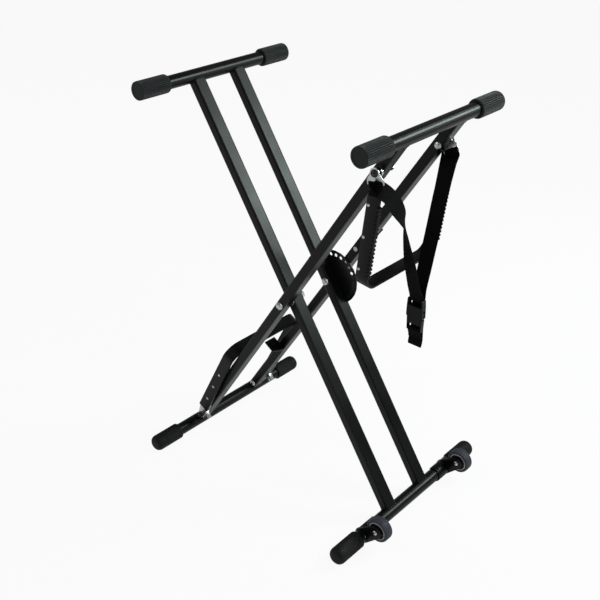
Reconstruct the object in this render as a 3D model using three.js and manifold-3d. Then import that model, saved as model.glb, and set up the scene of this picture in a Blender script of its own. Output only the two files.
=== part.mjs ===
// Folding double-braced X stand for a keyboard, with a lock disc, transport wheels on one foot,
// a fold-out toe bracket, a swinging handle bow and a load strap with a side-release buckle.
// Millimetres, +Z up. The origin is on the floor, under the middle of the stand's outline.
import * as THREE from 'three';
import { mergeVertices } from 'three/addons/utils/BufferGeometryUtils.js';
import Module from 'manifold-3d';

const wasm = await Module();
wasm.setup();

// ---------------------------------------------------------------- driving dimensions
// fold geometry
const openAngle = 66.54;          // angle between the two frames as stored, degrees
const legAbove = 466.7;           // main pivot to the axis of a top bar
const legBelow = 468.4;           // main pivot to the axis of a foot bar
const innerLegY = 52.8;           // mid-plane of the inner frame's legs
const legGap = 2.2;               // space between an inner and an outer leg
const legWidth = 28;              // leg tube across, along Y
const legDepth = 19;              // leg tube in the plane of the fold
const legCorner = 3.2;
const tubeWall = 1.5;
// bars and their rubber caps
const topBarRadius = 12.7;
const topBarHalf = 184;
const footBarRadius = 13.3;
const footBarHalf = 206;
const barWall = 1.6;
const topCapRadius = 17.7;
const topCapInner = 126;          // where a top cap starts
const topCapOuter = 190;          // where it ends
const topCapRibs = 18;
const topCapGroove = 0.9;
const footCapRadius = 17.5;
const footCapInner = 158;
const footCapOuter = 218;
const capNose = 5;
const footCapNose = 11;
// hardware
const clearance = 0.3;            // running and seating clearance
const pivotBoltRadius = 4;
const pivotHeadRadius = 8.2;
const pivotHeadHeight = 4.4;
const nutHeight = 6.4;
const washerRadius = 11;
const discRadius = 58.5;
const discThickness = 1.6;
const discBack = 9.2;             // how far the disc reaches behind the pivot
const lockCircle = 49.5;
const lockHoleRadius = 3.7;
const lockStep = 15;              // degrees between lock holes
const holesToClosed = 3;          // lock holes on the closing side of the one in use
const holesToOpen = 2;            // and on the opening side
// lock pin and its squeeze lever, on the outer face of the far outer leg
const pinRadius = 3.1;
const pinCollarRadius = 6.2;
const pinTravel = 6;
const fulcrumAt = 94.3;
const leverGrip = 50;             // lever beyond the fulcrum
const leverWidth = 15;
const leverPlate = 2;
const leverStandoff = 9;          // lever plate above the leg's outer face
const rivetRadius = 2.6;
const springWire = 0.8;
const springTurns = 6;
// fold stop
const stopAt = 274;
const stopReach = 30;
const stopHeight = 36;
const stopPlate = 3;
// handle bow
const bowHingeAt = 400;           // along the leg from the main pivot
const bowHingeOff = 3.6;          // off the leg's centre line
const bowHang = 4.3;              // degrees that the bow hangs off plumb
const bowLength = 222;            // hinge to the underside of the grip bar
const bowWidth = 26;
const bowPlate = 4;
const bowStandoff = 5;            // leg's outer face to the arm
const bowCorner = 28;
const bowRivets = [56, 119, 181];
const padStart = 43;
const padRibs = 15;
const padPitch = 10;
const padBase = 3;
const padRib = 4.6;
const hingeBoltRadius = 4;
const buttonRadius = 7;
const buttonHeight = 4;
// strap anchors, webbing and buckle
const anchorEye = 9.6;
const anchorPlate = 1.8;
const anchorWidth = 34;
const anchorLength = 19.4;
const slotAt = 13.2;
const slotHeight = 2.4;
const webWidth = 28;
const webThickness = 1.4;
const buckleWidth = 36;
const buckleDepth = 11;
const buckleTopZ = 466;
const buckleBottomZ = 398;
const buckleX = 236;
const buckleY = 18;
// toe bracket
const toeHingeAt = 445.5;
const toeLength = 245.5;          // hinge to the outer face of the toe bar
const toeWidth = 26;
const toePlate = 4;
const toeStandoff = 5;
const toeCorner = 30;
const toeArmStart = 34;           // hinge to where the flat bar starts
const toeHingePlate = 2.6;
const toeEarReach = 14;
// transport wheels
const wheelAlong = 4.8;           // axle from the foot bar's axis, along the leg
const wheelOff = 40.3;            // and square to the leg
const wheelRadius = 24.5;
const wheelWidth = 20;
const tyreDepth = 5.5;
const nearWheelY = -131;
const farWheelY = 146;
const axleRadius = 4;
const cheekThickness = 3;
const saddleLength = 25.5;
const saddleThickness = 2;

// ---------------------------------------------------------------- derived places
const half = THREE.MathUtils.degToRad(openAngle / 2);
const pivotZ = legBelow * Math.cos(half) + footCapRadius;
const outerLegY = innerLegY + legWidth + legGap;
const innerFaceIn = innerLegY - legWidth / 2;
const innerFaceOut = innerLegY + legWidth / 2;
const outerFaceIn = outerLegY - legWidth / 2;
const outerFaceOut = outerLegY + legWidth / 2;
const wheelX = legBelow * Math.sin(half) - wheelAlong * Math.sin(half) + wheelOff * Math.cos(half);
const originShift = (wheelX + wheelRadius - legBelow * Math.sin(half) - footCapRadius) / 2;

// ---------------------------------------------------------------- materials
function paint(color, roughness, metalness) {
  return () => new THREE.MeshStandardMaterial({ color, roughness, metalness });
}
const blackPaint = paint(0x1d1d21, 0.36, 0.25);
const zinc = paint(0xc9cacb, 0.34, 0.85);
const darkSteel = paint(0x35363a, 0.4, 0.8);
const rubber = paint(0x343638, 0.8, 0);
const webbing = paint(0x1b1b1c, 0.9, 0);
const plastic = paint(0x232426, 0.45, 0);
const tyreRubber = paint(0x484c5a, 0.7, 0);
const wheelPlastic = paint(0xb9bcc2, 0.5, 0);

// ---------------------------------------------------------------- solids
function solid(geometry, matrix) {
  const g = geometry.clone();
  if (matrix) g.applyMatrix4(matrix);
  g.deleteAttribute('normal');
  g.deleteAttribute('uv');
  const merged = mergeVertices(g, 1e-4);
  const triVerts = Uint32Array.from(merged.index.array);
  const vertProperties = Float32Array.from(merged.attributes.position.array);
  return new wasm.Manifold(new wasm.Mesh({ numProp: 3, vertProperties, triVerts }));
}

function geometryOf(body) {
  const mesh = body.getMesh();
  const g = new THREE.BufferGeometry();
  const n = mesh.numProp;
  const count = mesh.vertProperties.length / n;
  const pos = new Float32Array(count * 3);
  for (let i = 0; i < count; i += 1) {
    for (let k = 0; k < 3; k += 1) pos[3 * i + k] = mesh.vertProperties[n * i + k];
  }
  g.setAttribute('position', new THREE.BufferAttribute(pos, 3));
  g.setIndex(new THREE.BufferAttribute(Uint32Array.from(mesh.triVerts), 1));
  g.computeVertexNormals();
  return g;
}

const at = (x, y, z) => new THREE.Matrix4().makeTranslation(x, y, z);
const spinX = (a) => new THREE.Matrix4().makeRotationX(a);
const spinY = (a) => new THREE.Matrix4().makeRotationY(a);
const spinZ = (a) => new THREE.Matrix4().makeRotationZ(a);
const chain = (...m) => m.reduce((a, b) => a.clone().multiply(b), new THREE.Matrix4());

// a round rod along Y from y0 to y1, centred on (x, z)
function rodY(r, y0, y1, x = 0, z = 0, sides = 24, r1 = r) {
  const up = y1 > y0;
  const g = new THREE.CylinderGeometry(up ? r1 : r, up ? r : r1, Math.abs(y1 - y0), sides);
  return solid(g, at(x, (y0 + y1) / 2, z));
}

function rodX(r, x0, x1, y = 0, z = 0, sides = 20) {
  const g = new THREE.CylinderGeometry(r, r, Math.abs(x1 - x0), sides);
  return solid(g, chain(at((x0 + x1) / 2, y, z), spinZ(Math.PI / 2)));
}

function box(x0, x1, y0, y1, z0, z1) {
  const g = new THREE.BoxGeometry(Math.abs(x1 - x0), Math.abs(y1 - y0), Math.abs(z1 - z0));
  return solid(g, at((x0 + x1) / 2, (y0 + y1) / 2, (z0 + z1) / 2));
}

// an outline drawn in X and Z, given thickness along Y from y0 to y1
function slabY(shape, y0, y1) {
  const lo = Math.min(y0, y1);
  const g = new THREE.ExtrudeGeometry(shape, {
    depth: Math.abs(y1 - y0), bevelEnabled: false, curveSegments: 7,
  });
  // (x, y, depth) becomes (x, lo + depth, y) through a right-handed turn
  return solid(g, chain(at(0, lo + Math.abs(y1 - y0), 0), spinX(Math.PI / 2)));
}

// an outline drawn in Y and Z, given thickness along X from x0 to x1
function slabX(shape, x0, x1) {
  const lo = Math.min(x0, x1);
  const g = new THREE.ExtrudeGeometry(shape, {
    depth: Math.abs(x1 - x0), bevelEnabled: false, curveSegments: 4,
  });
  return solid(g, chain(at(lo, 0, 0), spinZ(Math.PI / 2), spinX(Math.PI / 2)));
}

function roundedRect(w, h, r, hole = false) {
  const p = hole ? new THREE.Path() : new THREE.Shape();
  const a = w / 2;
  const b = h / 2;
  p.moveTo(-a + r, -b);
  p.lineTo(a - r, -b);
  p.quadraticCurveTo(a, -b, a, -b + r);
  p.lineTo(a, b - r);
  p.quadraticCurveTo(a, b, a - r, b);
  p.lineTo(-a + r, b);
  p.quadraticCurveTo(-a, b, -a, b - r);
  p.lineTo(-a, -b + r);
  p.quadraticCurveTo(-a, -b, -a + r, -b);
  return p;
}

// a body turned on the Y axis: profile points are [radius, y]
function turnedY(profile, sides, twist = 0) {
  const points = profile.map(([r, y]) => new THREE.Vector2(r, y));
  return solid(new THREE.LatheGeometry(points, sides), spinY(twist));
}

function put(parent, name, body, material) {
  const mesh = new THREE.Mesh(body.isBufferGeometry ? body : geometryOf(body), material());
  mesh.name = name;
  parent.add(mesh);
  return mesh;
}

// ---------------------------------------------------------------- scene graph
const group = new THREE.Group();
const stand = new THREE.Group();
stand.position.x = -originShift;
group.add(stand);
const frameA = new THREE.Group();
frameA.position.z = pivotZ;
frameA.rotation.y = -half;
stand.add(frameA);
const frameB = new THREE.Group();
frameB.position.z = pivotZ;
frameB.rotation.y = half;
stand.add(frameB);
// Inside each frame group z runs up the leg from the main pivot. x is square to it.

// ---------------------------------------------------------------- legs
// Hollow tube, coped to the bar at each end, with its bolt holes drilled through.
function leg(y, holes) {
  const shape = roundedRect(legDepth, legWidth, legCorner);
  shape.holes.push(roundedRect(legDepth - 2 * tubeWall, legWidth - 2 * tubeWall,
    legCorner - tubeWall, true));
  const g = new THREE.ExtrudeGeometry(shape, {
    depth: legAbove + legBelow, bevelEnabled: false, curveSegments: 2,
  });
  let body = solid(g, at(0, y, -legBelow));
  body = body.subtract(rodY(topBarRadius + clearance, y - legWidth, y + legWidth, 0, legAbove, 24));
  body = body.subtract(rodY(footBarRadius + clearance, y - legWidth, y + legWidth, 0, -legBelow, 24));
  for (const [x, z, r, y0, y1] of holes) {
    body = body.subtract(rodY(r + clearance, y0 ?? y - legWidth, y1 ?? y + legWidth, x, z, 12));
  }
  return body;
}
const pivotHole = [0, 0, pivotBoltRadius];
const bowHole = [bowHingeOff, bowHingeAt, hingeBoltRadius];
const toeHole = [0, -toeHingeAt, hingeBoltRadius];
put(frameA, 'leg_a_near', leg(-innerLegY, [pivotHole]), blackPaint);
put(frameA, 'leg_a_far', leg(innerLegY, [pivotHole]), blackPaint);
put(frameB, 'leg_b_near', leg(-outerLegY, [pivotHole, bowHole, toeHole]), blackPaint);
put(frameB, 'leg_b_far', leg(outerLegY, [
  pivotHole, bowHole, toeHole,
  [0, lockCircle, pinRadius],
  [0, fulcrumAt, rivetRadius],
]), blackPaint);

// ---------------------------------------------------------------- bars and caps
function bar(radius, halfLength, z, sides = 24) {
  const body = rodY(radius, -halfLength, halfLength, 0, z, sides);
  return body.subtract(rodY(radius - barWall, -halfLength - 1, halfLength + 1, 0, z, sides));
}
put(frameA, 'top_bar_a', bar(topBarRadius, topBarHalf, legAbove), blackPaint);
put(frameA, 'foot_bar_a', bar(footBarRadius, footBarHalf, -legBelow), blackPaint);
put(frameB, 'top_bar_b', bar(topBarRadius, topBarHalf, legAbove), blackPaint);
put(frameB, 'foot_bar_b', bar(footBarRadius, footBarHalf, -legBelow), blackPaint);

// Top cap: a fluted rubber sleeve with one rib's flat turned straight up.
function topCap(side, spin) {
  const outline = new THREE.Shape();
  const pitch = (2 * Math.PI) / topCapRibs;
  for (let i = 0; i < topCapRibs; i += 1) {
    const mid = Math.PI / 2 + i * pitch;
    const marks = [[-0.30, 0], [0.30, 0], [0.42, topCapGroove], [0.58, topCapGroove]];
    for (const [f, deep] of marks) {
      const a = mid + f * pitch;
      const r = topCapRadius - deep;
      if (i === 0 && f === marks[0][0]) outline.moveTo(r * Math.cos(a), r * Math.sin(a));
      else outline.lineTo(r * Math.cos(a), r * Math.sin(a));
    }
  }
  outline.closePath();
  const plain = topCapRadius - topCapGroove;
  let body = slabY(outline, topCapInner + 1, topCapOuter - capNose);
  body = body.add(turnedY([
    [0, topCapInner], [plain, topCapInner], [plain, topCapOuter - capNose + 0.4],
    [plain - 0.8, topCapOuter - 2], [plain - 3, topCapOuter], [0, topCapOuter],
  ], topCapRibs, Math.PI / topCapRibs));
  body = body.subtract(rodY(topBarRadius + clearance, topCapInner - 1, topBarHalf + clearance, 0, 0, 20));
  const g = geometryOf(body);
  g.applyMatrix4(chain(side < 0 ? spinZ(Math.PI) : new THREE.Matrix4()));
  g.applyMatrix4(chain(at(0, 0, legAbove), spinY(spin)));
  return g;
}

// Foot cap: a smooth sleeve with a domed nose, one facet turned straight down.
function footCap(side, spin) {
  const sides = 20;
  const flat = footCapRadius / Math.cos(Math.PI / sides);
  const nose = [];
  for (let i = 0; i <= 4; i += 1) {
    const a = (i / 4) * (Math.PI / 2);
    const fall = 1 - Math.cos(a);
    nose.push([(flat - footCapNose * fall), footCapOuter - footCapNose * (1 - Math.sin(a))]);
  }
  let body = turnedY([
    [0, footCapInner], [flat - 1.2, footCapInner], [flat, footCapInner + 1.6],
    ...nose, [0, footCapOuter + 0.8],
  ], sides, Math.PI / sides);
  body = body.subtract(rodY(footBarRadius + clearance, footCapInner - 1, footBarHalf + clearance,
    0, 0, 20));
  const g = geometryOf(body);
  if (side < 0) g.applyMatrix4(spinZ(Math.PI));
  g.applyMatrix4(chain(at(0, 0, -legBelow), spinY(spin)));
  return g;
}
for (const [tag, parent, spin] of [['a', frameA, half], ['b', frameB, -half]]) {
  put(parent, `top_cap_${tag}_near`, topCap(-1, spin), rubber);
  put(parent, `top_cap_${tag}_far`, topCap(1, spin), rubber);
  put(parent, `foot_cap_${tag}_near`, footCap(-1, spin), rubber);
  put(parent, `foot_cap_${tag}_far`, footCap(1, spin), rubber);
}

// ---------------------------------------------------------------- main pivot
// A bolt with a domed head on one side and a lock nut on the other.
function domedBolt(r, headR, headH, yHead, yEnd, x = 0, z = 0) {
  const s = Math.sign(yEnd - yHead);
  const profile = [
    [0, -headH], [headR * 0.5, -headH * 0.92], [headR * 0.85, -headH * 0.6], [headR, 0],
    [r, 0], [r, Math.abs(yEnd - yHead)], [0, Math.abs(yEnd - yHead)],
  ];
  const body = turnedY(profile, 12);
  const turn = s > 0 ? new THREE.Matrix4() : spinX(Math.PI);
  return body.transform(chain(at(x, yHead, z), turn).elements);
}
function nut(r, acrossR, height, y0, dir, x = 0, z = 0) {
  const hex = rodY(acrossR, y0, y0 + dir * height, x, z, 6);
  return hex.subtract(rodY(r + clearance, y0 - dir, y0 + dir * (height + 1), x, z, 12));
}
const boltOutEnd = outerFaceOut + clearance;
const boltInEnd = innerFaceIn - clearance;
put(frameB, 'pivot_bolt_near', domedBolt(pivotBoltRadius, pivotHeadRadius, pivotHeadHeight,
  -boltOutEnd, -(boltInEnd - nutHeight - 1)), zinc);
put(frameB, 'pivot_nut_near', nut(pivotBoltRadius, pivotHeadRadius, nutHeight, -boltInEnd, 1), zinc);
put(frameB, 'pivot_bolt_far', domedBolt(pivotBoltRadius, pivotHeadRadius, pivotHeadHeight,
  boltInEnd, boltOutEnd + nutHeight + 1), zinc);
put(frameB, 'pivot_nut_far', nut(pivotBoltRadius, pivotHeadRadius, nutHeight, boltOutEnd, 1), zinc);
const washer = rodY(washerRadius, -outerFaceIn + clearance, -innerFaceOut - clearance, 0, 0, 24);
put(frameB, 'pivot_washer_near', washer.subtract(
  rodY(pivotBoltRadius + clearance, -outerFaceIn - 1, -innerFaceOut + 1, 0, 0, 16)), zinc);

// ---------------------------------------------------------------- lock disc
// A half disc welded flat to the far inner leg, with one ring of lock holes.
const discY0 = innerFaceOut + clearance;
const discY1 = discY0 + discThickness;
const discShape = new THREE.Shape();
const backAngle = Math.asin(discBack / discRadius);
discShape.absarc(0, 0, discRadius, -Math.PI / 2 - backAngle, Math.PI / 2 + backAngle, false);
discShape.closePath();
let disc = slabY(discShape, discY0, discY1);
disc = disc.intersect(box(-discBack, discRadius + 1, discY0 - 1, discY1 + 1, -discRadius, discRadius));
disc = disc.subtract(rodY(pivotBoltRadius + clearance, discY0 - 1, discY1 + 1, 0, 0, 16));
for (let k = -holesToOpen; k <= holesToClosed; k += 1) {
  const a = Math.PI / 2 - 2 * half + THREE.MathUtils.degToRad(k * lockStep);
  disc = disc.subtract(rodY(lockHoleRadius, discY0 - 1, discY1 + 1,
    lockCircle * Math.cos(a), lockCircle * Math.sin(a), 14));
}
put(frameA, 'lock_disc', disc, blackPaint);

// ---------------------------------------------------------------- lock pin and squeeze lever
const leverY = outerFaceOut + leverStandoff;
const earGap = leverWidth / 2 + clearance;
const earPlate = 2;
// pin: tip by the disc, spring collar inside the leg, neck and button head outside the lever
const pinTip = discY1 + clearance;
const collarY = outerFaceIn + tubeWall + 1.2;
const neckRadius = pinRadius - 0.9;
const pinNeck = leverY - 0.7;
const pinHeadY = leverY + leverPlate + 0.9;
const pinProfile = [
  [0, pinTip], [pinRadius - 0.5, pinTip], [pinRadius, pinTip + 0.5], [pinRadius, collarY],
  [pinCollarRadius, collarY], [pinCollarRadius, collarY + 2], [pinRadius, collarY + 2],
  [pinRadius, pinNeck], [neckRadius, pinNeck], [neckRadius, pinHeadY],
  [pinRadius + 2, pinHeadY], [pinRadius + 2, pinHeadY + 2], [0, pinHeadY + 2.6],
];
const pinGroup = new THREE.Group();
pinGroup.position.z = lockCircle;
frameB.add(pinGroup);
put(pinGroup, 'lock_pin', turnedY(pinProfile, 12), zinc);

// return spring: an open coil between the pin's collar and the leg's outer wall
const springY0 = collarY + 2 + clearance + springWire / 2;
const springY1 = outerFaceOut - tubeWall - clearance - springWire / 2;
class Coil extends THREE.Curve {
  constructor(radius, y0, y1, turns) {
    super();
    Object.assign(this, { radius, y0, y1, turns });
  }

  getPoint(t, target = new THREE.Vector3()) {
    const a = t * this.turns * 2 * Math.PI;
    const y = this.y0 + (this.y1 - this.y0) * t;
    return target.set(this.radius * Math.cos(a), y, this.radius * Math.sin(a));
  }
}
function wireSection(r, sides) {
  const shape = new THREE.Shape();
  for (let i = 0; i < sides; i += 1) {
    const a = (i / sides) * 2 * Math.PI;
    if (i === 0) shape.moveTo(r, 0);
    else shape.lineTo(r * Math.cos(a), r * Math.sin(a));
  }
  shape.closePath();
  return shape;
}
const coilRadius = pinRadius + clearance + 0.4 + springWire / 2;
const coil = new Coil(coilRadius, springY0, springY1, springTurns);
put(pinGroup, 'lock_spring', solid(new THREE.ExtrudeGeometry(wireSection(springWire / 2, 5), {
  steps: springTurns * 8, extrudePath: coil, bevelEnabled: false,
})), zinc);

// lever bracket: a saddle on the leg's outer face with two ears that stand past the leg's sides
const saddle0 = outerFaceOut + clearance;
const bracketHalf = earGap + earPlate;
const pinLine = leverY + leverPlate / 2;
let bracket = box(-bracketHalf, bracketHalf, saddle0, saddle0 + earPlate, fulcrumAt - 11, fulcrumAt + 11);
const earShape = new THREE.Shape();
earShape.moveTo(saddle0, fulcrumAt - 11);
earShape.lineTo(pinLine, fulcrumAt - 5);
earShape.absarc(pinLine, fulcrumAt, 5, -Math.PI / 2, Math.PI / 2, false);
earShape.lineTo(saddle0, fulcrumAt + 11);
earShape.closePath();
for (const s of [-1, 1]) {
  bracket = bracket.add(slabX(earShape, s * earGap, s * bracketHalf));
}
bracket = bracket.subtract(rodX(2.2 + clearance, -bracketHalf - 1, bracketHalf + 1, pinLine, fulcrumAt));
bracket = bracket.subtract(rodY(rivetRadius + clearance, saddle0 - 1, saddle0 + earPlate + 1, 0, fulcrumAt));
put(frameB, 'lever_bracket', bracket, blackPaint);
const rivetIn = outerFaceIn - clearance;
let rivet = rodY(rivetRadius, rivetIn - 0.4, saddle0 + earPlate + clearance + 0.4, 0, fulcrumAt);
rivet = rivet.add(rodY(5, rivetIn - 1.3, rivetIn, 0, fulcrumAt, 24, 5));
rivet = rivet.add(rodY(4.6, saddle0 + earPlate + clearance, saddle0 + earPlate + clearance + 1.4,
  0, fulcrumAt, 24));
put(frameB, 'bracket_rivet', rivet, zinc);
put(frameB, 'fulcrum_pin', rodX(2.2, -bracketHalf - 1.4, bracketHalf + 1.4, pinLine, fulcrumAt), zinc);

// lever: a flanged plate, forked round the pin's neck, with a turned-out grip end
const forkEnd = lockCircle - 7;
const leverEnd = fulcrumAt + leverGrip;
const leverSide = new THREE.Shape();
leverSide.moveTo(leverY, forkEnd);
leverSide.lineTo(leverY, leverEnd - 12);
leverSide.quadraticCurveTo(leverY + 0.5, leverEnd - 4, leverY + 4, leverEnd);
leverSide.lineTo(leverY + 4 + leverPlate, leverEnd - 1);
leverSide.quadraticCurveTo(leverY + 2.6, leverEnd - 4.5, leverY + leverPlate, leverEnd - 12);
leverSide.lineTo(leverY + leverPlate, forkEnd);
leverSide.closePath();
let lever = slabX(leverSide, -leverWidth / 2, leverWidth / 2);
const cheekShape = new THREE.Shape();
cheekShape.moveTo(leverY + 0.5, fulcrumAt - 26);
cheekShape.lineTo(leverY + 0.5, fulcrumAt - 9);
cheekShape.lineTo(pinLine - 5, fulcrumAt - 3);
cheekShape.lineTo(pinLine - 5, fulcrumAt + 3);
cheekShape.lineTo(leverY + 0.5, fulcrumAt + 30);
cheekShape.lineTo(leverY + leverPlate + 4.5, fulcrumAt + 26);
cheekShape.lineTo(leverY + leverPlate + 4.5, fulcrumAt - 22);
cheekShape.closePath();
for (const s of [-1, 1]) {
  lever = lever.add(slabX(cheekShape, s * leverWidth / 2, s * (leverWidth / 2 - 1.6)));
}
const forkSlot = neckRadius + 0.8;
lever = lever.subtract(rodY(forkSlot, leverY - 1, leverY + leverPlate + 1, 0, lockCircle, 20));
lever = lever.subtract(box(-forkSlot, forkSlot, leverY - 1, leverY + leverPlate + 1,
  forkEnd - 1, lockCircle));
lever = lever.subtract(rodX(2.2 + clearance, -leverWidth, leverWidth, pinLine, fulcrumAt));
const leverGroup = new THREE.Group();
frameB.add(leverGroup);
put(leverGroup, 'lock_lever', lever, blackPaint);

// ---------------------------------------------------------------- fold stop
// A plate set square across the leg's inner face. One lower corner is cut away.
const stopShape = new THREE.Shape();
const stopIn = outerFaceIn - clearance - stopReach;
stopShape.moveTo(9.8, outerFaceIn - clearance);
stopShape.lineTo(9.8, outerFaceIn - clearance - 8);
stopShape.lineTo(1, stopIn);
stopShape.lineTo(9.8 - stopHeight, stopIn);
stopShape.lineTo(9.8 - stopHeight, outerFaceIn - clearance);
stopShape.closePath();
const stopGeometry = new THREE.ExtrudeGeometry(stopShape, { depth: stopPlate, bevelEnabled: false });
put(frameB, 'fold_stop', solid(stopGeometry, at(0, 0, -stopAt - stopPlate / 2)), blackPaint);

// ---------------------------------------------------------------- handle bow
const bow = new THREE.Group();
bow.position.set(bowHingeOff, 0, bowHingeAt);
bow.rotation.y = THREE.MathUtils.degToRad(bowHang) - half;
frameB.add(bow);
const bowIn = outerFaceOut + bowStandoff;
const bowOut = bowIn + bowPlate;

// A flat bar bent to a U: outline across Y, cut to a rounded end at each hinge.
function bentBar(width, outY, plate, corner, zTop, zBar, endCut) {
  const outer = new THREE.Shape();
  outer.moveTo(-outY, zTop);
  outer.lineTo(-outY, zBar + corner);
  outer.absarc(-outY + corner, zBar + corner, corner, Math.PI, 1.5 * Math.PI, false);
  outer.lineTo(outY - corner, zBar);
  outer.absarc(outY - corner, zBar + corner, corner, 1.5 * Math.PI, 2 * Math.PI, false);
  outer.lineTo(outY, zTop);
  outer.lineTo(outY - plate, zTop);
  outer.lineTo(outY - plate, zBar + corner);
  const inr = corner - plate;
  outer.absarc(outY - corner, zBar + corner, inr, 0, -Math.PI / 2, true);
  outer.lineTo(-outY + corner, zBar + plate);
  outer.absarc(-outY + corner, zBar + corner, inr, 1.5 * Math.PI, Math.PI, true);
  outer.lineTo(-outY + plate, zTop);
  outer.closePath();
  return slabX(outer, -width / 2, width / 2).intersect(slabY(endCut, -outY - 1, outY + 1));
}
const bowEnd = new THREE.Shape();
bowEnd.moveTo(-bowWidth / 2, -bowLength - 1);
bowEnd.lineTo(bowWidth / 2, -bowLength - 1);
bowEnd.lineTo(bowWidth / 2, 0);
bowEnd.absarc(0, 0, bowWidth / 2, 0, Math.PI, false);
bowEnd.closePath();
let bowBar = bentBar(bowWidth, bowOut, bowPlate, bowCorner, bowWidth / 2 + 1, -bowLength, bowEnd);
bowBar = bowBar.subtract(rodY(hingeBoltRadius + clearance, -bowOut - 1, bowOut + 1, 0, 0, 16));
function rivetHead(r, h, sides = 12) {
  return [[0, -0.6], [r, -0.6], [r, 0.2], [r * 0.6, h], [0, h]];
}
const headSolid = turnedY(rivetHead(2.6, 1.3), 6);
for (const z of bowRivets) {
  bowBar = bowBar.add(headSolid.transform(at(0, bowOut, -z).elements));
  bowBar = bowBar.add(headSolid.transform(chain(at(0, -bowOut, -z), spinX(Math.PI)).elements));
}
for (const s of [-1, 1]) {
  const place = chain(at(-3, s * (bowOut - bowCorner - 14), -bowLength + bowPlate), spinX(Math.PI / 2));
  bowBar = bowBar.add(headSolid.transform(place.elements));
}
put(bow, 'bow_bar', bowBar, blackPaint);

// ribbed grip pads on the inner faces of the arms
function ribbedPad(side) {
  const shape = new THREE.Shape();
  const face = side * (bowIn - clearance);
  const base = side * (bowIn - clearance - padBase);
  const crest = side * (bowIn - clearance - padBase - padRib);
  shape.moveTo(face, -padStart);
  shape.lineTo(base, -padStart);
  for (let i = 0; i < padRibs; i += 1) {
    const z = -padStart - i * padPitch;
    shape.lineTo(base, z - 0.16 * padPitch);
    shape.lineTo(crest, z - 0.30 * padPitch);
    shape.lineTo(crest, z - 0.62 * padPitch);
    shape.lineTo(base, z - 0.78 * padPitch);
  }
  shape.lineTo(base, -padStart - padRibs * padPitch);
  shape.lineTo(face, -padStart - padRibs * padPitch);
  shape.closePath();
  return slabX(shape, -bowWidth / 2, bowWidth / 2);
}
put(bow, 'grip_pad_near', ribbedPad(-1), rubber);
put(bow, 'grip_pad_far', ribbedPad(1), rubber);

// ---------------------------------------------------------------- strap anchors
// Both anchors sit on the near-facing side of their arm.
const nearTilt = THREE.MathUtils.degToRad(15);
const farTilt = THREE.MathUtils.degToRad(36);
const nearPlateY1 = -bowOut - clearance - webThickness - 2 * clearance;
const nearPlateY0 = nearPlateY1 - anchorPlate;
const farPlateY0 = outerFaceOut + 3 * clearance;
const farPlateY1 = farPlateY0 + anchorPlate;
function anchor(y0, y1, tilt, bossTo) {
  const w = anchorWidth / 2;
  const shape = new THREE.Shape();
  shape.absarc(0, 0, anchorEye, -0.1, Math.PI + 0.1, false);
  shape.lineTo(-w, -slotAt + 2.6);
  shape.lineTo(-w, -anchorLength + 2);
  shape.quadraticCurveTo(-w, -anchorLength, -w + 2, -anchorLength);
  shape.lineTo(w - 2, -anchorLength);
  shape.quadraticCurveTo(w, -anchorLength, w, -anchorLength + 2);
  shape.lineTo(w, -slotAt + 2.6);
  shape.closePath();
  let body = slabY(shape, y0, y1);
  body = body.add(rodY(buttonRadius + 1, (y0 + y1) / 2, bossTo, 0, 0, 24));
  const slotHalf = webWidth / 2 + 2 * clearance;
  body = body.subtract(box(-slotHalf, slotHalf, y0 - 1, y1 + 1, -slotAt - slotHeight, -slotAt));
  body = body.subtract(rodY(hingeBoltRadius + clearance, y0 - 9, y1 + 9, 0, 0, 24));
  return body.transform(spinY(-tilt).elements);
}
put(bow, 'strap_anchor_near', anchor(nearPlateY0, nearPlateY1, nearTilt, -bowOut - clearance), zinc);
put(bow, 'strap_anchor_far', anchor(farPlateY0, farPlateY1, farTilt, bowIn - clearance), zinc);

// ---------------------------------------------------------------- hinge bolts and spacers
function spacer(y0, y1, r, x, z, hole) {
  const lo = Math.min(y0, y1);
  const hi = Math.max(y0, y1);
  return rodY(r, lo, hi, x, z, 20).subtract(rodY(hole + clearance, lo - 1, hi + 1, x, z, 16));
}
put(frameB, 'bow_spacer_near', spacer(-outerFaceOut - clearance, -bowIn + clearance,
  9, bowHingeOff, bowHingeAt, hingeBoltRadius), zinc);
const boltHeadIn = outerFaceIn - clearance;
const nearBoltOut = -(nearPlateY0 - clearance);
put(frameB, 'bow_bolt_near', domedBolt(hingeBoltRadius, buttonRadius, buttonHeight,
  -nearBoltOut, -(boltHeadIn - 5), bowHingeOff, bowHingeAt), darkSteel);
put(frameB, 'bow_nut_near', nut(hingeBoltRadius, 7, 4.6, -boltHeadIn, 1, bowHingeOff, bowHingeAt), zinc);
put(frameB, 'bow_bolt_far', domedBolt(hingeBoltRadius, buttonRadius, buttonHeight,
  boltHeadIn, bowOut + clearance + 5, bowHingeOff, bowHingeAt), zinc);
put(frameB, 'bow_nut_far', nut(hingeBoltRadius, 7, 4.6, bowOut + clearance, 1,
  bowHingeOff, bowHingeAt), darkSteel);

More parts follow.
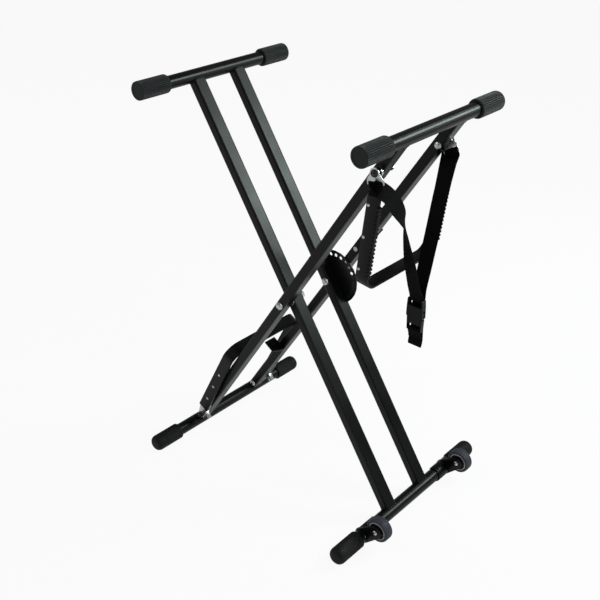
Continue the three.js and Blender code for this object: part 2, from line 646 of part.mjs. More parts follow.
// ---------------------------------------------------------------- webbing
// A flat section carried along points, each with the direction of the webbing's width.
function ribbon(keys, perSpan) {
  const points = keys.map((k) => new THREE.Vector3(...k[0]));
  const widths = keys.map((k) => new THREE.Vector3(...k[1]).normalize());
  const curve = new THREE.CatmullRomCurve3(points, false, 'centripetal');
  const n = (keys.length - 1) * perSpan;
  const positions = [];
  const index = [];
  for (let i = 0; i <= n; i += 1) {
    const t = i / n;
    const centre = curve.getPoint(t);
    const tangent = curve.getTangent(t).normalize();
    const k = Math.min(Math.floor(t * (keys.length - 1)), keys.length - 2);
    const f = t * (keys.length - 1) - k;
    const wide = widths[k].clone().lerp(widths[k + 1], f);
    wide.addScaledVector(tangent, -wide.dot(tangent)).normalize();
    const thick = new THREE.Vector3().crossVectors(tangent, wide);
    const a = webWidth / 2;
    const b = webThickness / 2;
    for (const [u, v] of [[-a, -b], [a, -b], [a, b], [-a, b]]) {
      const p = centre.clone().addScaledVector(wide, u).addScaledVector(thick, v);
      positions.push(p.x, p.y, p.z);
    }
    if (i < n) {
      for (let s = 0; s < 4; s += 1) {
        const p0 = 4 * i + s;
        const p1 = 4 * i + ((s + 1) % 4);
        index.push(p0, p1, p1 + 4, p0, p1 + 4, p0 + 4);
      }
    }
  }
  index.push(0, 2, 1, 0, 3, 2);
  const e = 4 * n;
  index.push(e, e + 1, e + 2, e, e + 2, e + 3);
  const g = new THREE.BufferGeometry();
  g.setAttribute('position', new THREE.BufferAttribute(new Float32Array(positions), 3));
  g.setIndex(index);
  let body = solid(g);
  if (body.volume() < 0) {
    const flipped = [];
    for (let i = 0; i < index.length; i += 3) flipped.push(index[i], index[i + 2], index[i + 1]);
    g.setIndex(flipped);
    body = solid(g);
  }
  return body;
}
// The straps are laid out upright, in the stand's own directions about the bow's hinge line.
const upright = new THREE.Group();
upright.rotation.y = -THREE.MathUtils.degToRad(bowHang);
bow.add(upright);
const hangTurn = THREE.MathUtils.degToRad(bowHang);
const hingeX = bowHingeAt * Math.sin(half) + bowHingeOff * Math.cos(half);
const hingeZ = pivotZ + bowHingeAt * Math.cos(half) - bowHingeOff * Math.sin(half);
const rel = (x, y, z) => [x - hingeX, y, z - hingeZ];

// sewn loop round an anchor's lower bar
function anchorLoop(y0, y1, tilt) {
  const z1 = -slotAt - slotHeight + clearance;
  const z0 = -anchorLength - clearance;
  const a = y0 - clearance;
  const b = y1 + clearance;
  const t = webThickness;
  const outline = new THREE.Shape();
  outline.moveTo(a - t, z0);
  outline.quadraticCurveTo(a - t, z0 - t, a, z0 - t);
  outline.lineTo(b, z0 - t);
  outline.quadraticCurveTo(b + t, z0 - t, b + t, z0);
  outline.lineTo(b + t, z1);
  outline.quadraticCurveTo(b + t, z1 + t, b, z1 + t);
  outline.lineTo(a, z1 + t);
  outline.quadraticCurveTo(a - t, z1 + t, a - t, z1);
  outline.closePath();
  const ring = slabX(outline, -webWidth / 2, webWidth / 2)
    .subtract(box(-webWidth, webWidth, a, b, z0, z1));
  return ring.transform(spinY(hangTurn - tilt).elements);
}
// a sewn eye round a buckle bar that lies along X
const barRadius = 2.4;
function buckleLoop(y, z) {
  const g = rodX(barRadius + clearance + webThickness, -webWidth / 2, webWidth / 2, y, z, 14);
  return g.subtract(rodX(barRadius + clearance, -webWidth / 2 - 1, webWidth / 2 + 1, y, z, 14));
}
const topBarZ = buckleTopZ - barRadius - 0.6;
const lowBarZ = buckleBottomZ + barRadius + 0.6;
const nearDown = new THREE.Vector3(Math.sin(nearTilt - hangTurn), 0, -Math.cos(nearTilt - hangTurn));
const farDown = new THREE.Vector3(Math.sin(farTilt - hangTurn), 0, -Math.cos(farTilt - hangTurn));
const nearOut = nearPlateY0 - clearance - webThickness / 2;
const farIn = farPlateY0 - clearance - webThickness / 2;
const nearAcross = [-nearDown.z, 0, nearDown.x];
const farAcross = [-farDown.z, 0, farDown.x];
const eyeOffset = barRadius + clearance + webThickness / 2;
const nearKeys = [
  [[17 * nearDown.x, nearOut, 17 * nearDown.z], nearAcross],
  [[21.5 * nearDown.x, nearOut - 0.1, 21.5 * nearDown.z], nearAcross],
  [[27 * nearDown.x + 2, nearOut - 0.6, 27 * nearDown.z], [0.9, 0.25, 0.3]],
  [rel(236.5, -108, 706), [0.45, 0.6, 0.6]],
  [rel(240.5, -88, 697), [0.08, 0.73, 0.68]],
  [rel(240, -62.4, 669), [-0.2, 0.85, 0.45]],
  [rel(239, -40, 636), [-0.62, 0.75, 0.2]],
  [rel(238, -30, 600), [-0.85, 0.5, 0.1]],
  [rel(238, -15, 549), [-1, 0.12, 0]],
  [rel(237, 4, 495), [-1, 0, 0]],
  [rel(buckleX, buckleY - eyeOffset, topBarZ + 5), [-1, 0, 0]],
  [rel(buckleX, buckleY - eyeOffset, topBarZ - 0.5), [-1, 0, 0]],
];
const backY = buckleY + buckleDepth / 2 + webThickness / 2 + clearance;
const farKeys = [
  [[17 * farDown.x, farIn, 17 * farDown.z], farAcross],
  [[21.5 * farDown.x, farIn - 0.1, 21.5 * farDown.z], farAcross],
  [[27 * farDown.x, farIn - 1.6, 27 * farDown.z], [0.9, 0.3, 0.4]],
  [rel(239, 86, 704), [0.74, 0.66, 0]],
  [rel(239, 77, 685), [0.74, 0.66, 0]],
  [rel(239, 65, 645), [0.74, 0.66, 0]],
  [rel(238, 54.6, 596), [0.78, 0.62, 0]],
  [rel(237, 44, 560), [0.9, 0.4, 0]],
  [rel(236.5, 34, 520), [1, 0.1, 0]],
  [rel(buckleX, backY + 1.4, 484), [1, 0, 0]],
  [rel(buckleX, backY + 0.4, 440), [1, 0, 0]],
  [rel(buckleX, backY + 0.6, 400), [1, 0, 0]],
  [rel(buckleX, backY + 0.8, 374), [1, 0, 0]],
  [rel(buckleX, backY - 3.2, 364.4), [1, 0, 0]],
  [rel(buckleX, buckleY + 1.2, 368), [1, 0, 0]],
  [rel(buckleX, buckleY + eyeOffset - 0.4, 380), [1, 0, 0]],
  [rel(buckleX, buckleY + eyeOffset, lowBarZ + 0.5), [1, 0, 0]],
];
const eyeAt = (z) => buckleLoop(0, 0).transform(at(...rel(buckleX, buckleY, z)).elements);
const strapNear = ribbon(nearKeys, 4)
  .add(anchorLoop(nearPlateY0, nearPlateY1, nearTilt))
  .add(eyeAt(topBarZ));
const strapFar = ribbon(farKeys, 3)
  .add(anchorLoop(farPlateY0, farPlateY1, farTilt))
  .add(eyeAt(lowBarZ));
put(upright, 'strap_near', strapNear, webbing);
put(upright, 'strap_far', strapFar, webbing);

// ---------------------------------------------------------------- side-release buckle
const buckle = new THREE.Group();
buckle.position.set(buckleX - hingeX, buckleY, -hingeZ);
upright.add(buckle);
const bw = buckleWidth / 2;
const bd = buckleDepth / 2;
const socketTop = buckleTopZ - 15;
const socketLow = buckleBottomZ + 27;
// socket half: hollow body with side windows, and the upper webbing bar
const socketShape = new THREE.Shape();
socketShape.moveTo(-bw + 3, socketLow);
socketShape.lineTo(-bw, socketLow + 4);
socketShape.lineTo(-bw + 0.6, socketTop);
socketShape.lineTo(-bw + 1.6, buckleTopZ - 2);
socketShape.quadraticCurveTo(-bw + 2, buckleTopZ, -bw + 4, buckleTopZ);
socketShape.lineTo(bw - 4, buckleTopZ);
socketShape.quadraticCurveTo(bw - 2, buckleTopZ, bw - 1.6, buckleTopZ - 2);
socketShape.lineTo(bw - 0.6, socketTop);
socketShape.lineTo(bw, socketLow + 4);
socketShape.lineTo(bw - 3, socketLow);
socketShape.closePath();
let socket = slabY(socketShape, -bd, bd);
const windowHalf = webWidth / 2 + 0.6;
socket = socket.subtract(box(-windowHalf, windowHalf, -bd - 1, bd + 1, socketTop - 0.5, buckleTopZ + 1));
socket = socket.add(rodX(barRadius, -windowHalf - 0.6, windowHalf + 0.6, 0, topBarZ, 14));
const pocketHalf = bw - 2.6;
socket = socket.subtract(box(-pocketHalf, pocketHalf, -bd + 2.2, bd - 2.2, socketLow - 1, socketTop - 3.5));
for (const s of [-1, 1]) {
  socket = socket.subtract(box(s * (bw - 7), s * (bw + 1), -bd + 2.2, bd - 2.2,
    socketLow + 7, socketTop - 6));
}
put(buckle, 'buckle_socket', socket, plastic);
// prong half: base with the lower webbing bar, a guide tongue and two sprung prongs
const baseTop = socketLow - clearance;
const baseShape = new THREE.Shape();
baseShape.moveTo(-bw + 2.4, buckleBottomZ + 2);
baseShape.lineTo(-bw + 1.4, baseTop);
baseShape.lineTo(bw - 1.4, baseTop);
baseShape.lineTo(bw - 2.4, buckleBottomZ + 2);
baseShape.quadraticCurveTo(bw - 2.6, buckleBottomZ, bw - 4.6, buckleBottomZ);
baseShape.lineTo(-bw + 4.6, buckleBottomZ);
baseShape.quadraticCurveTo(-bw + 2.6, buckleBottomZ, -bw + 2.4, buckleBottomZ + 2);
baseShape.closePath();
let prong = slabY(baseShape, -bd + 1, bd - 1);
prong = prong.subtract(box(-windowHalf, windowHalf, -bd - 1, bd + 1, buckleBottomZ - 1, buckleBottomZ + 15));
prong = prong.add(rodX(barRadius, -windowHalf - 0.6, windowHalf + 0.6, 0, lowBarZ, 14));
const prongHalfY = bd - 2.2 - clearance;
prong = prong.add(box(-3, 3, -prongHalfY, prongHalfY, baseTop - 1, socketTop - 8));
for (const s of [-1, 1]) {
  const arm = new THREE.Shape();
  arm.moveTo(s * (pocketHalf - 1), baseTop - 1);
  arm.lineTo(s * (pocketHalf - 0.6), socketLow + 7.6);
  arm.lineTo(s * (bw - 0.8), socketLow + 8);
  arm.quadraticCurveTo(s * (bw + 0.4), socketLow + 13, s * (bw - 1.6), socketLow + 16);
  arm.lineTo(s * (pocketHalf - 5), socketLow + 18);
  arm.lineTo(s * (pocketHalf - 5), baseTop - 1);
  arm.closePath();
  prong = prong.add(slabY(arm, -prongHalfY, prongHalfY));
}
put(buckle, 'buckle_prong', prong, plastic);

// ---------------------------------------------------------------- toe bracket
const toe = new THREE.Group();
toe.position.set(0, 0, -toeHingeAt);
frameB.add(toe);
const toeIn = outerFaceOut + toeStandoff;
const toeOut = toeIn + toePlate;
// Folded up, the edge of its bend rests on the sides of the outer legs.
const bendIn = toeCorner - toePlate;
const bendSide = outerFaceOut - (toeOut - toeCorner);
const seatZ = toeLength - toeCorner + Math.sqrt(Math.max(bendIn ** 2 - bendSide ** 2, 0));
const toeTilt = Math.asin((legDepth / 2 + clearance) / Math.hypot(seatZ, toeWidth / 2))
  + Math.atan2(toeWidth / 2, seatZ);
toe.rotation.y = -toeTilt;
const toeCut = new THREE.Shape();
toeCut.moveTo(-toeWidth / 2 - 1, -toeLength - 1);
toeCut.lineTo(toeWidth / 2 + 1, -toeLength - 1);
toeCut.lineTo(toeWidth / 2, -toeArmStart);
toeCut.lineTo(-toeWidth / 2, -toeArmStart);
toeCut.closePath();
let toeBar = bentBar(toeWidth, toeOut, toePlate, toeCorner, -toeArmStart, -toeLength, toeCut);
toeBar = toeBar.transform(spinX(Math.PI).elements);
for (const z of [70, 116, 160]) {
  toeBar = toeBar.add(headSolid.transform(at(0, toeOut, z).elements));
  toeBar = toeBar.add(headSolid.transform(chain(at(0, -toeOut, z), spinX(Math.PI)).elements));
}
for (const s of [-1, 1]) {
  const place = chain(at(0, s * 60, toeLength), spinX(Math.PI / 2));
  toeBar = toeBar.add(headSolid.transform(place.elements));
}
put(toe, 'toe_bar', toeBar, blackPaint);
// zinc hinge plates with a turned-out ear, lapped on the inner face of each arm
function toeHinge(side) {
  const y0 = outerFaceOut + clearance;
  const y1 = y0 + toeHingePlate;
  const shape = new THREE.Shape();
  shape.absarc(0, 0, 8.4, Math.PI * 0.95, Math.PI * 2.05, false);
  shape.lineTo(12.6, 26);
  shape.lineTo(12.6, 52);
  shape.lineTo(-12.6, 52);
  shape.lineTo(-12.6, 26);
  shape.closePath();
  let body = slabY(shape, y0, y1);
  body = body.add(box(-12.6, 12.6, y0, toeIn - clearance, 36, 52));
  const ear = slabY((() => {
    const e = new THREE.Shape();
    e.moveTo(10.4, 27);
    e.lineTo(26, 29);
    e.lineTo(26, 40);
    e.lineTo(10.4, 44);
    e.closePath();
    return e;
  })(), y0, y1);
  body = body.add(ear);
  body = body.subtract(rodY(hingeBoltRadius + clearance, y0 - 1, y1 + 1, 0, 0, 24));
  return side > 0 ? body : body.mirror([0, 1, 0]);
}
put(toe, 'toe_hinge_near', toeHinge(-1), zinc);
put(toe, 'toe_hinge_far', toeHinge(1), zinc);
const toeBoltOut = outerFaceOut + 2 * clearance + toeHingePlate;
for (const [tag, s] of [['near', -1], ['far', 1]]) {
  put(frameB, `toe_bolt_${tag}`, domedBolt(hingeBoltRadius, buttonRadius, 3.6,
    s * boltHeadIn, s * (toeBoltOut + 5), 0, -toeHingeAt), zinc);
  put(frameB, `toe_nut_${tag}`, nut(hingeBoltRadius, 7, 4.4, s * toeBoltOut, s, 0, -toeHingeAt), darkSteel);
}

// ---------------------------------------------------------------- transport wheels
// Both wheels stand on the same side of their bracket, which clips over the foot bar.
function wheelSet(tag, wheelY) {
  const mount = new THREE.Group();
  mount.position.set(0, wheelY, -legBelow);
  frameA.add(mount);
  const cheek1 = -wheelWidth / 2 - 1;
  const cheek0 = cheek1 - cheekThickness;
  const dir = Math.atan2(wheelAlong, wheelOff);
  const reach = Math.hypot(wheelAlong, wheelOff);
  const inner = footBarRadius + clearance;
  const outer = inner + saddleThickness;
  // cheek drawn with its long axis toward the axle
  const shape = new THREE.Shape();
  const eye = 9.5;
  const lean = Math.asin((outer + 1 - eye) / reach);
  shape.absarc(0, 0, outer + 1, Math.PI / 2 - lean, Math.PI * 1.5 + lean, false);
  shape.absarc(reach, 0, eye, -Math.PI / 2 + lean, Math.PI / 2 - lean, false);
  shape.closePath();
  let body = slabY(shape, cheek0, cheek1);
  let saddle = rodY(outer, cheek0 + 1, cheek0 + saddleLength, 0, 0, 24);
  saddle = saddle.subtract(box(-outer - 1, -2, cheek0 - 1, cheek0 + saddleLength + 1, -outer - 1, outer + 1));
  body = body.add(saddle);
  body = body.subtract(rodY(inner, cheek0 - 2, cheek0 + saddleLength + 2, 0, 0, 24));
  body = body.subtract(rodY(axleRadius + clearance, cheek0 - 1, cheek1 + 1, reach, 0, 24));
  put(mount, `wheel_bracket_${tag}`, body.transform(spinY(-dir).elements), blackPaint);
  const axle = new THREE.Group();
  axle.position.set(wheelOff, 0, wheelAlong);
  mount.add(axle);
  put(axle, `axle_bolt_${tag}`, domedBolt(axleRadius, 8, 4, cheek0 - clearance, wheelWidth / 2 - 2), zinc);
  // hub with a recessed face, ring and bore
  const ring = wheelRadius - tyreDepth;
  const w = wheelWidth / 2;
  const bore = axleRadius + clearance;
  let hub = turnedY([
    [0, -w + 0.6], [8.5, -w + 0.6], [9.5, -w + 3], [ring - 4.5, -w + 3], [ring - 4, -w + 0.2],
    [ring, -w + 0.2], [ring, w - 0.2], [ring - 4, w - 0.2], [ring - 4.5, w - 3], [8, w - 3],
    [7.5, w - 0.2], [0, w - 0.2],
  ], 20);
  hub = hub.subtract(rodY(bore, -w - 1, w + 1, 0, 0, 16));
  put(axle, `wheel_hub_${tag}`, hub, wheelPlastic);
  let tyre = turnedY([
    [0, -w], [ring + 1.2, -w], [wheelRadius - 1.2, -w + 2], [wheelRadius, -w + 6],
    [wheelRadius, w - 6], [wheelRadius - 1.2, w - 2], [ring + 1.2, w], [0, w],
  ], 28);
  tyre = tyre.subtract(rodY(ring + clearance, -w - 1, w + 1, 0, 0, 20));
  put(axle, `tyre_${tag}`, tyre, tyreRubber);
}
wheelSet('near', nearWheelY);
wheelSet('far', farWheelY);

export default group;
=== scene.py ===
import math

import bpy
from mathutils import Matrix, Vector


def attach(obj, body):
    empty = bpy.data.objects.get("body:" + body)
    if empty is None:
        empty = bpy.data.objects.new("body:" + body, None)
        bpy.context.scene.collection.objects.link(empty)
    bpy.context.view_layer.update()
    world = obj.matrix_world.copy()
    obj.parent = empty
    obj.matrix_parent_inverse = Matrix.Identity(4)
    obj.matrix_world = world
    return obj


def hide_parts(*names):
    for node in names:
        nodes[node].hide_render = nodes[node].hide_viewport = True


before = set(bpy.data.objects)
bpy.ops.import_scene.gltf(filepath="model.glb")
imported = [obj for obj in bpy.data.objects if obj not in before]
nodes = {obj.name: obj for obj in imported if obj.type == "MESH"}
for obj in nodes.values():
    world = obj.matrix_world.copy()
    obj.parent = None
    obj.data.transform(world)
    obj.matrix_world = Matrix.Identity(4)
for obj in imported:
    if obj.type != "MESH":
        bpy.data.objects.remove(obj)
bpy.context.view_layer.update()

# ---------------------------------------------------------------- camera
# The camera stands to the right of the stand's front, a little above the top bars and
# nearly two metres from the middle, with a short telephoto lens.
camera_at = Vector((1.0388, -1.22889, 1.28153))
camera_aim = Vector((-0.06488, 0.01409, 0.35958))
camera_roll = math.radians(0.175)
focal_in_pixels = 925.17
photo_width = 600
back = (camera_at - camera_aim).normalized()
right = Vector((0, 0, 1)).cross(back).normalized()
up = back.cross(right)
tilted_right = math.cos(camera_roll) * right + math.sin(camera_roll) * up
tilted_up = back.cross(tilted_right)
lens = bpy.data.cameras.new("photo_camera")
lens.sensor_width = 36
lens.sensor_fit = "HORIZONTAL"
lens.lens = lens.sensor_width * focal_in_pixels / photo_width
lens.clip_start = 0.05
camera = bpy.data.objects.new("photo_camera", lens)
turn = Matrix((tilted_right, tilted_up, back)).transposed().to_4x4()
camera.matrix_world = Matrix.Translation(camera_at) @ turn
bpy.context.scene.collection.objects.link(camera)
bpy.context.scene.camera = camera

# ---------------------------------------------------------------- load strap
# Black polyester webbing, 28 mm wide, in two lengths. Each is folded round the lower bar of
# its zinc anchor and round a bar of the buckle, and sewn to itself behind the fold.
strap_width = 0.028
strap_thick = 0.0014
steps_per_key = 8
stitches_in_row = 8
stitch_half_long = 0.0011
stitch_half_wide = 0.00035
stitch_half_high = 0.0003
handle_hinge_x = 0.20341
handle_hinge_z = 0.74159


class Sock:
    """A node's socket that takes part in sums."""

    def __init__(self, tree, socket):
        self.tree = tree
        self.socket = socket

    def math(self, operation, *others):
        """A math node that takes this socket and other sockets or numbers."""
        node = self.tree.nodes.new("ShaderNodeMath")
        node.operation = operation
        for slot, value in zip(node.inputs, (self,) + others):
            if isinstance(value, Sock):
                self.tree.links.new(value.socket, slot)
            else:
                slot.default_value = value
        return Sock(self.tree, node.outputs[0])

    def __add__(self, other):
        return self.math("ADD", other)

    def __mul__(self, other):
        return self.math("MULTIPLY", other)

    def __sub__(self, other):
        return self.math("SUBTRACT", other)

    def sibling(self, index):
        """Another output of the same node."""
        return Sock(self.tree, self.socket.node.outputs[index])


class Finish:
    """One finish: a material with a Principled shader, and the nodes that vary it."""

    def __init__(self, name, **fixed):
        self.mat = bpy.data.materials.new(name)
        self.mat.use_nodes = True
        self.tree = self.mat.node_tree
        self.shader = self.tree.nodes["Principled BSDF"]
        for key, value in fixed.items():
            self.shader.inputs[key.replace("_", " ")].default_value = value

    def node(self, kind, settings=None, out=0, **inputs):
        """A new node's output; an input is given by its name, or by i and its number."""
        node = self.tree.nodes.new("ShaderNode" + kind)
        for key, value in (settings or {}).items():
            setattr(node, key, value)
        for key, value in inputs.items():
            slot = node.inputs[int(key[1:])] if key[0] == "i" else node.inputs[key]
            if isinstance(value, Sock):
                self.tree.links.new(value.socket, slot)
            else:
                slot.default_value = value
        return Sock(self.tree, node.outputs[out])

    def place(self):
        """The piece's own coordinates, in metres."""
        return self.node("TexCoord", out=3)

    def grain(self, scale, detail=3.0, rough=0.6):
        """Noise whose scale is in grains to a metre."""
        return self.node("TexNoise", Vector=self.place(), Scale=scale, Detail=detail,
                         Roughness=rough)

    def ramp(self, value, low, high, to_low=0.0, to_high=1.0):
        """The value's range from low to high, stretched to another range."""
        return self.node("MapRange", i0=value, i1=low, i2=high, i3=to_low, i4=to_high)

    def blend(self, factor, one, two):
        """A colour between two others."""
        return self.node("Mix", {"data_type": "RGBA"}, out=2, i0=factor, i6=one, i7=two)

    def relief(self, height, depth, under=None, strength=1.0):
        """Fine relief of a depth in metres, on top of another normal where one is given."""
        below = {} if under is None else {"Normal": under}
        return self.node("Bump", Height=height, Distance=depth, Strength=strength, **below)

    def wire(self, **sockets):
        """The shader's inputs take these sockets, and the material is done."""
        for key, value in sockets.items():
            self.tree.links.new(value.socket, self.shader.inputs[key.replace("_", " ")])
        return self.mat


weave = Finish("woven_webbing", Specular_IOR_Level=0.08)
thread_uv = weave.node("UVMap", {"uv_map": "cloth"})
across = weave.node("SeparateXYZ", i0=thread_uv)
along = across.sibling(1)
pick_rate = 4200.0
warp_rate = 9000.0
pick = (along * pick_rate).math("SINE")
warp = (across * warp_rate).math("SINE")
twill = (along * (pick_rate / 2) + across * (warp_rate / 2)).math("SINE")
cloth = pick * 0.5 + warp * 0.22 + twill * 0.28
fuzz = weave.grain(2600.0)
rows = weave.ramp(cloth, -1.0, 1.0)
worn = weave.ramp(weave.grain(38.0), 0.35, 0.7)
weave_colour = weave.blend(rows * 0.6 + worn * 0.4, (0.0014, 0.0014, 0.0014, 1),
                           (0.0046, 0.0044, 0.0041, 1))
webbing = weave.wire(
    Base_Color=weave_colour,
    Roughness=weave.ramp(fuzz, 0.2, 0.8, 0.62, 0.88),
    Normal=weave.relief(cloth + fuzz * 0.3, 0.00018),
)


def alone(piece):
    """The piece is active, and the only one selected."""
    bpy.ops.object.select_all(action="DESELECT")
    piece.select_set(True)
    bpy.context.view_layer.objects.active = piece


def added(name, data):
    """A new piece in the scene, active and the only one selected."""
    piece = bpy.data.objects.new(name, data)
    bpy.context.scene.collection.objects.link(piece)
    alone(piece)
    return piece


def mesh_piece(name, points, edges, faces):
    """A new piece made of points in metres and the edges or faces between them."""
    mesh = bpy.data.meshes.new(name)
    mesh.from_pydata(points, edges, faces)
    return added(name, mesh)


def edit_all():
    """The active mesh is opened, and all of it is selected."""
    bpy.ops.object.mode_set(mode="EDIT")
    bpy.ops.mesh.select_all(action="SELECT")


def close_outward():
    """The open mesh's faces are turned outward, and it is closed again."""
    bpy.ops.mesh.select_all(action="SELECT")
    bpy.ops.mesh.normals_make_consistent(inside=False)
    bpy.ops.object.mode_set(mode="OBJECT")


def catmull(keys, per_span):
    """Centripetal curve through the keys; gives points and blended width directions."""
    points = [Vector(k[0]) for k in keys]
    first = points[0] * 2 - points[1]
    last = points[-1] * 2 - points[-2]
    padded = [first] + points + [last]
    out = []
    for i in range(len(points) - 1):
        p0, p1, p2, p3 = padded[i:i + 4]
        d0, d1, d2 = [(b - a).length ** 0.5 for a, b in ((p0, p1), (p1, p2), (p2, p3))]
        t1 = ((p1 - p0) / d0 - (p2 - p0) / (d0 + d1) + (p2 - p1) / d1) * d1
        t2 = ((p2 - p1) / d1 - (p3 - p1) / (d1 + d2) + (p3 - p2) / d2) * d1
        w1, w2 = Vector(keys[i][1]).normalized(), Vector(keys[i + 1][1]).normalized()
        for s in range(per_span + (i == len(points) - 2)):
            t = s / per_span
            h = (2 * t ** 3 - 3 * t ** 2 + 1, t ** 3 - 2 * t ** 2 + t,
                 -2 * t ** 3 + 3 * t ** 2, t ** 3 - t ** 2)
            out.append((h[0] * p1 + h[1] * t1 + h[2] * p2 + h[3] * t2, w1.lerp(w2, t)))
    return out


def web_strip(name, keys):
    """A flat woven strip along the keys, with rounded selvedges and UVs in metres."""
    line = catmull(keys, steps_per_key)
    a = strap_width / 2
    b = strap_thick / 2
    ease = 0.4 * b
    edge = [(-a + ease, -b), (-a / 2, -b), (0, -b), (a / 2, -b), (a - ease, -b), (a, -ease),
            (a, ease), (a - ease, b), (a / 2, b), (0, b), (-a / 2, b), (-a + ease, b),
            (-a, ease), (-a, -ease)]
    verts = []
    faces = []
    uvs = []
    runs = []
    run = 0.0
    m = len(edge)
    for i, (p, w) in enumerate(line):
        before = line[max(i - 1, 0)][0]
        after = line[min(i + 1, len(line) - 1)][0]
        tangent = (after - before).normalized()
        wide = (w - tangent * w.dot(tangent)).normalized()
        thick = tangent.cross(wide)
        if i:
            run += (p - line[i - 1][0]).length
        runs.append(run)
        for u, v in edge:
            verts.append(p + wide * u + thick * v)
    for i in range(len(line) - 1):
        for s in range(m):
            n = (s + 1) % m
            faces.append((i * m + s, i * m + n, (i + 1) * m + n, (i + 1) * m + s))
            ua, ub = edge[s][0], edge[n][0]
            uvs += [(ua, runs[i]), (ub, runs[i]), (ub, runs[i + 1]), (ua, runs[i + 1])]
    faces.append(tuple(reversed(range(m))))
    faces.append(tuple((len(line) - 1) * m + s for s in range(m)))
    uvs += [(edge[s][0], 0) for s in reversed(range(m))]
    uvs += [(edge[s][0], run) for s in range(m)]
    piece = mesh_piece(name, verts, [], faces)
    cloth_map = piece.data.uv_layers.new(name="cloth")
    for loop, uv in zip(cloth_map.data, uvs):
        loop.uv = uv
    edit_all()
    close_outward()
    bpy.ops.object.shade_smooth_by_angle(angle=math.radians(50))
    piece.data.materials.append(webbing)
    return piece, run, line


thread = Finish("polyester_thread", Specular_IOR_Level=0.3)
lay = thread.grain(2200.0)
sewing_thread = thread.wire(
    Base_Color=thread.blend(lay, (0.012, 0.012, 0.012, 1), (0.035, 0.034, 0.033, 1)),
    Roughness=thread.ramp(lay, 0.3, 0.7, 0.5, 0.7),
)


def sewn_rows(name, line, rows, face):
    """Rows of short stitches across the strap, lying on one face of it."""
    sewn_width = strap_width * 0.84
    sides = ((0, 2, 1), (0, 3, 2), (0, 4, 3), (0, 1, 4), (5, 1, 2), (5, 2, 3), (5, 3, 4), (5, 4, 1))
    verts = []
    faces = []
    for at in rows:
        p, w = line[at]
        tangent = (line[at + 1][0] - line[at - 1][0]).normalized()
        wide = (w - tangent * w.dot(tangent)).normalized()
        out = tangent.cross(wide) * face
        for i in range(stitches_in_row):
            share = (i + 0.5) / stitches_in_row - 0.5
            middle = p + wide * sewn_width * share + out * strap_thick * 0.5
            first = len(verts)
            verts += [middle - wide * stitch_half_long, middle - tangent * stitch_half_wide,
                      middle + out * stitch_half_high, middle + tangent * stitch_half_wide,
                      middle - out * stitch_half_high, middle + wide * stitch_half_long]
            faces += [tuple(first + corner for corner in side) for side in sides]
    piece = mesh_piece(name, verts, [], faces)
    edit_all()
    close_outward()
    piece.data.materials.append(sewing_thread)
    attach(piece, "handle_bow")
    return piece


def on_anchor(down, y, d):
    """The point at y that lies the distance d below the handle's hinge, down the anchor."""
    return (handle_hinge_x + d * down[0], y, handle_hinge_z + d * down[1])


# Each loop round an anchor's bar is given by y and the distance below the hinge, in millimetres.
# The keys that follow it are points in metres, each with the direction of the strap's width.
near_swing = math.radians(10.7)
near_down = (math.sin(near_swing), -math.cos(near_swing))
near_wide = (-near_down[1], 0, near_down[0])
near_loop = [(-109.6, 27), (-109.3, 23.4), (-107.8, 20.4), (-107.3, 17.2), (-107.9, 14.7),
             (-109.2, 14.4), (-110.6, 14.8), (-111.1, 17), (-111.2, 21.5)]
near_keys = [(on_anchor(near_down, y / 1000, d / 1000), near_wide) for y, d in near_loop]
near_keys += [
    ((0.2030, -0.1126, 0.7182), (0.55, 0.12, 0.82)),
    ((0.2102, -0.1138, 0.7192), (0.25, 0.34, 0.90)),
    ((0.2178, -0.1118, 0.7180), (0.06, 0.62, 0.78)),
    ((0.2227, -0.0914, 0.7006), (0.10, 0.65, 0.76)),
    ((0.2200, -0.0640, 0.6710), (0.20, 0.74, 0.64)),
    ((0.2208, -0.0460, 0.6460), (-0.30, 0.80, 0.45)),
    ((0.2198, -0.0385, 0.630), (-0.66, 0.72, 0.2)),
    ((0.21897, -0.030, 0.600), (-0.85, 0.5, 0.1)),
    ((0.21897, -0.015, 0.549), (-1, 0.12, 0)),
    ((0.21797, 0.004, 0.495), (-1, 0, 0)),
    ((0.21697, 0.0146, 0.468), (-1, 0, 0)),
    ((0.21697, 0.0146, 0.4625), (-1, 0, 0)),
    ((0.21697, 0.018, 0.4596), (-1, 0, 0)),
    ((0.21697, 0.0214, 0.4630), (-1, 0, 0)),
    ((0.21697, 0.0186, 0.4700), (-1, 0, 0)),
    ((0.21717, 0.0138, 0.4785), (-1, 0, 0)),
    ((0.21757, 0.0092, 0.4870), (-1, 0, 0)),
]
near_strap, near_length, near_line = web_strip("near_strap_webbing", near_keys)
near_stitches = [sewn_rows("near_anchor_stitches", near_line, (60, 64, 68), 1),
                 sewn_rows("near_buckle_stitches", near_line, (148, 151), -1)]
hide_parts("strap_near")
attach(near_strap, "handle_bow")

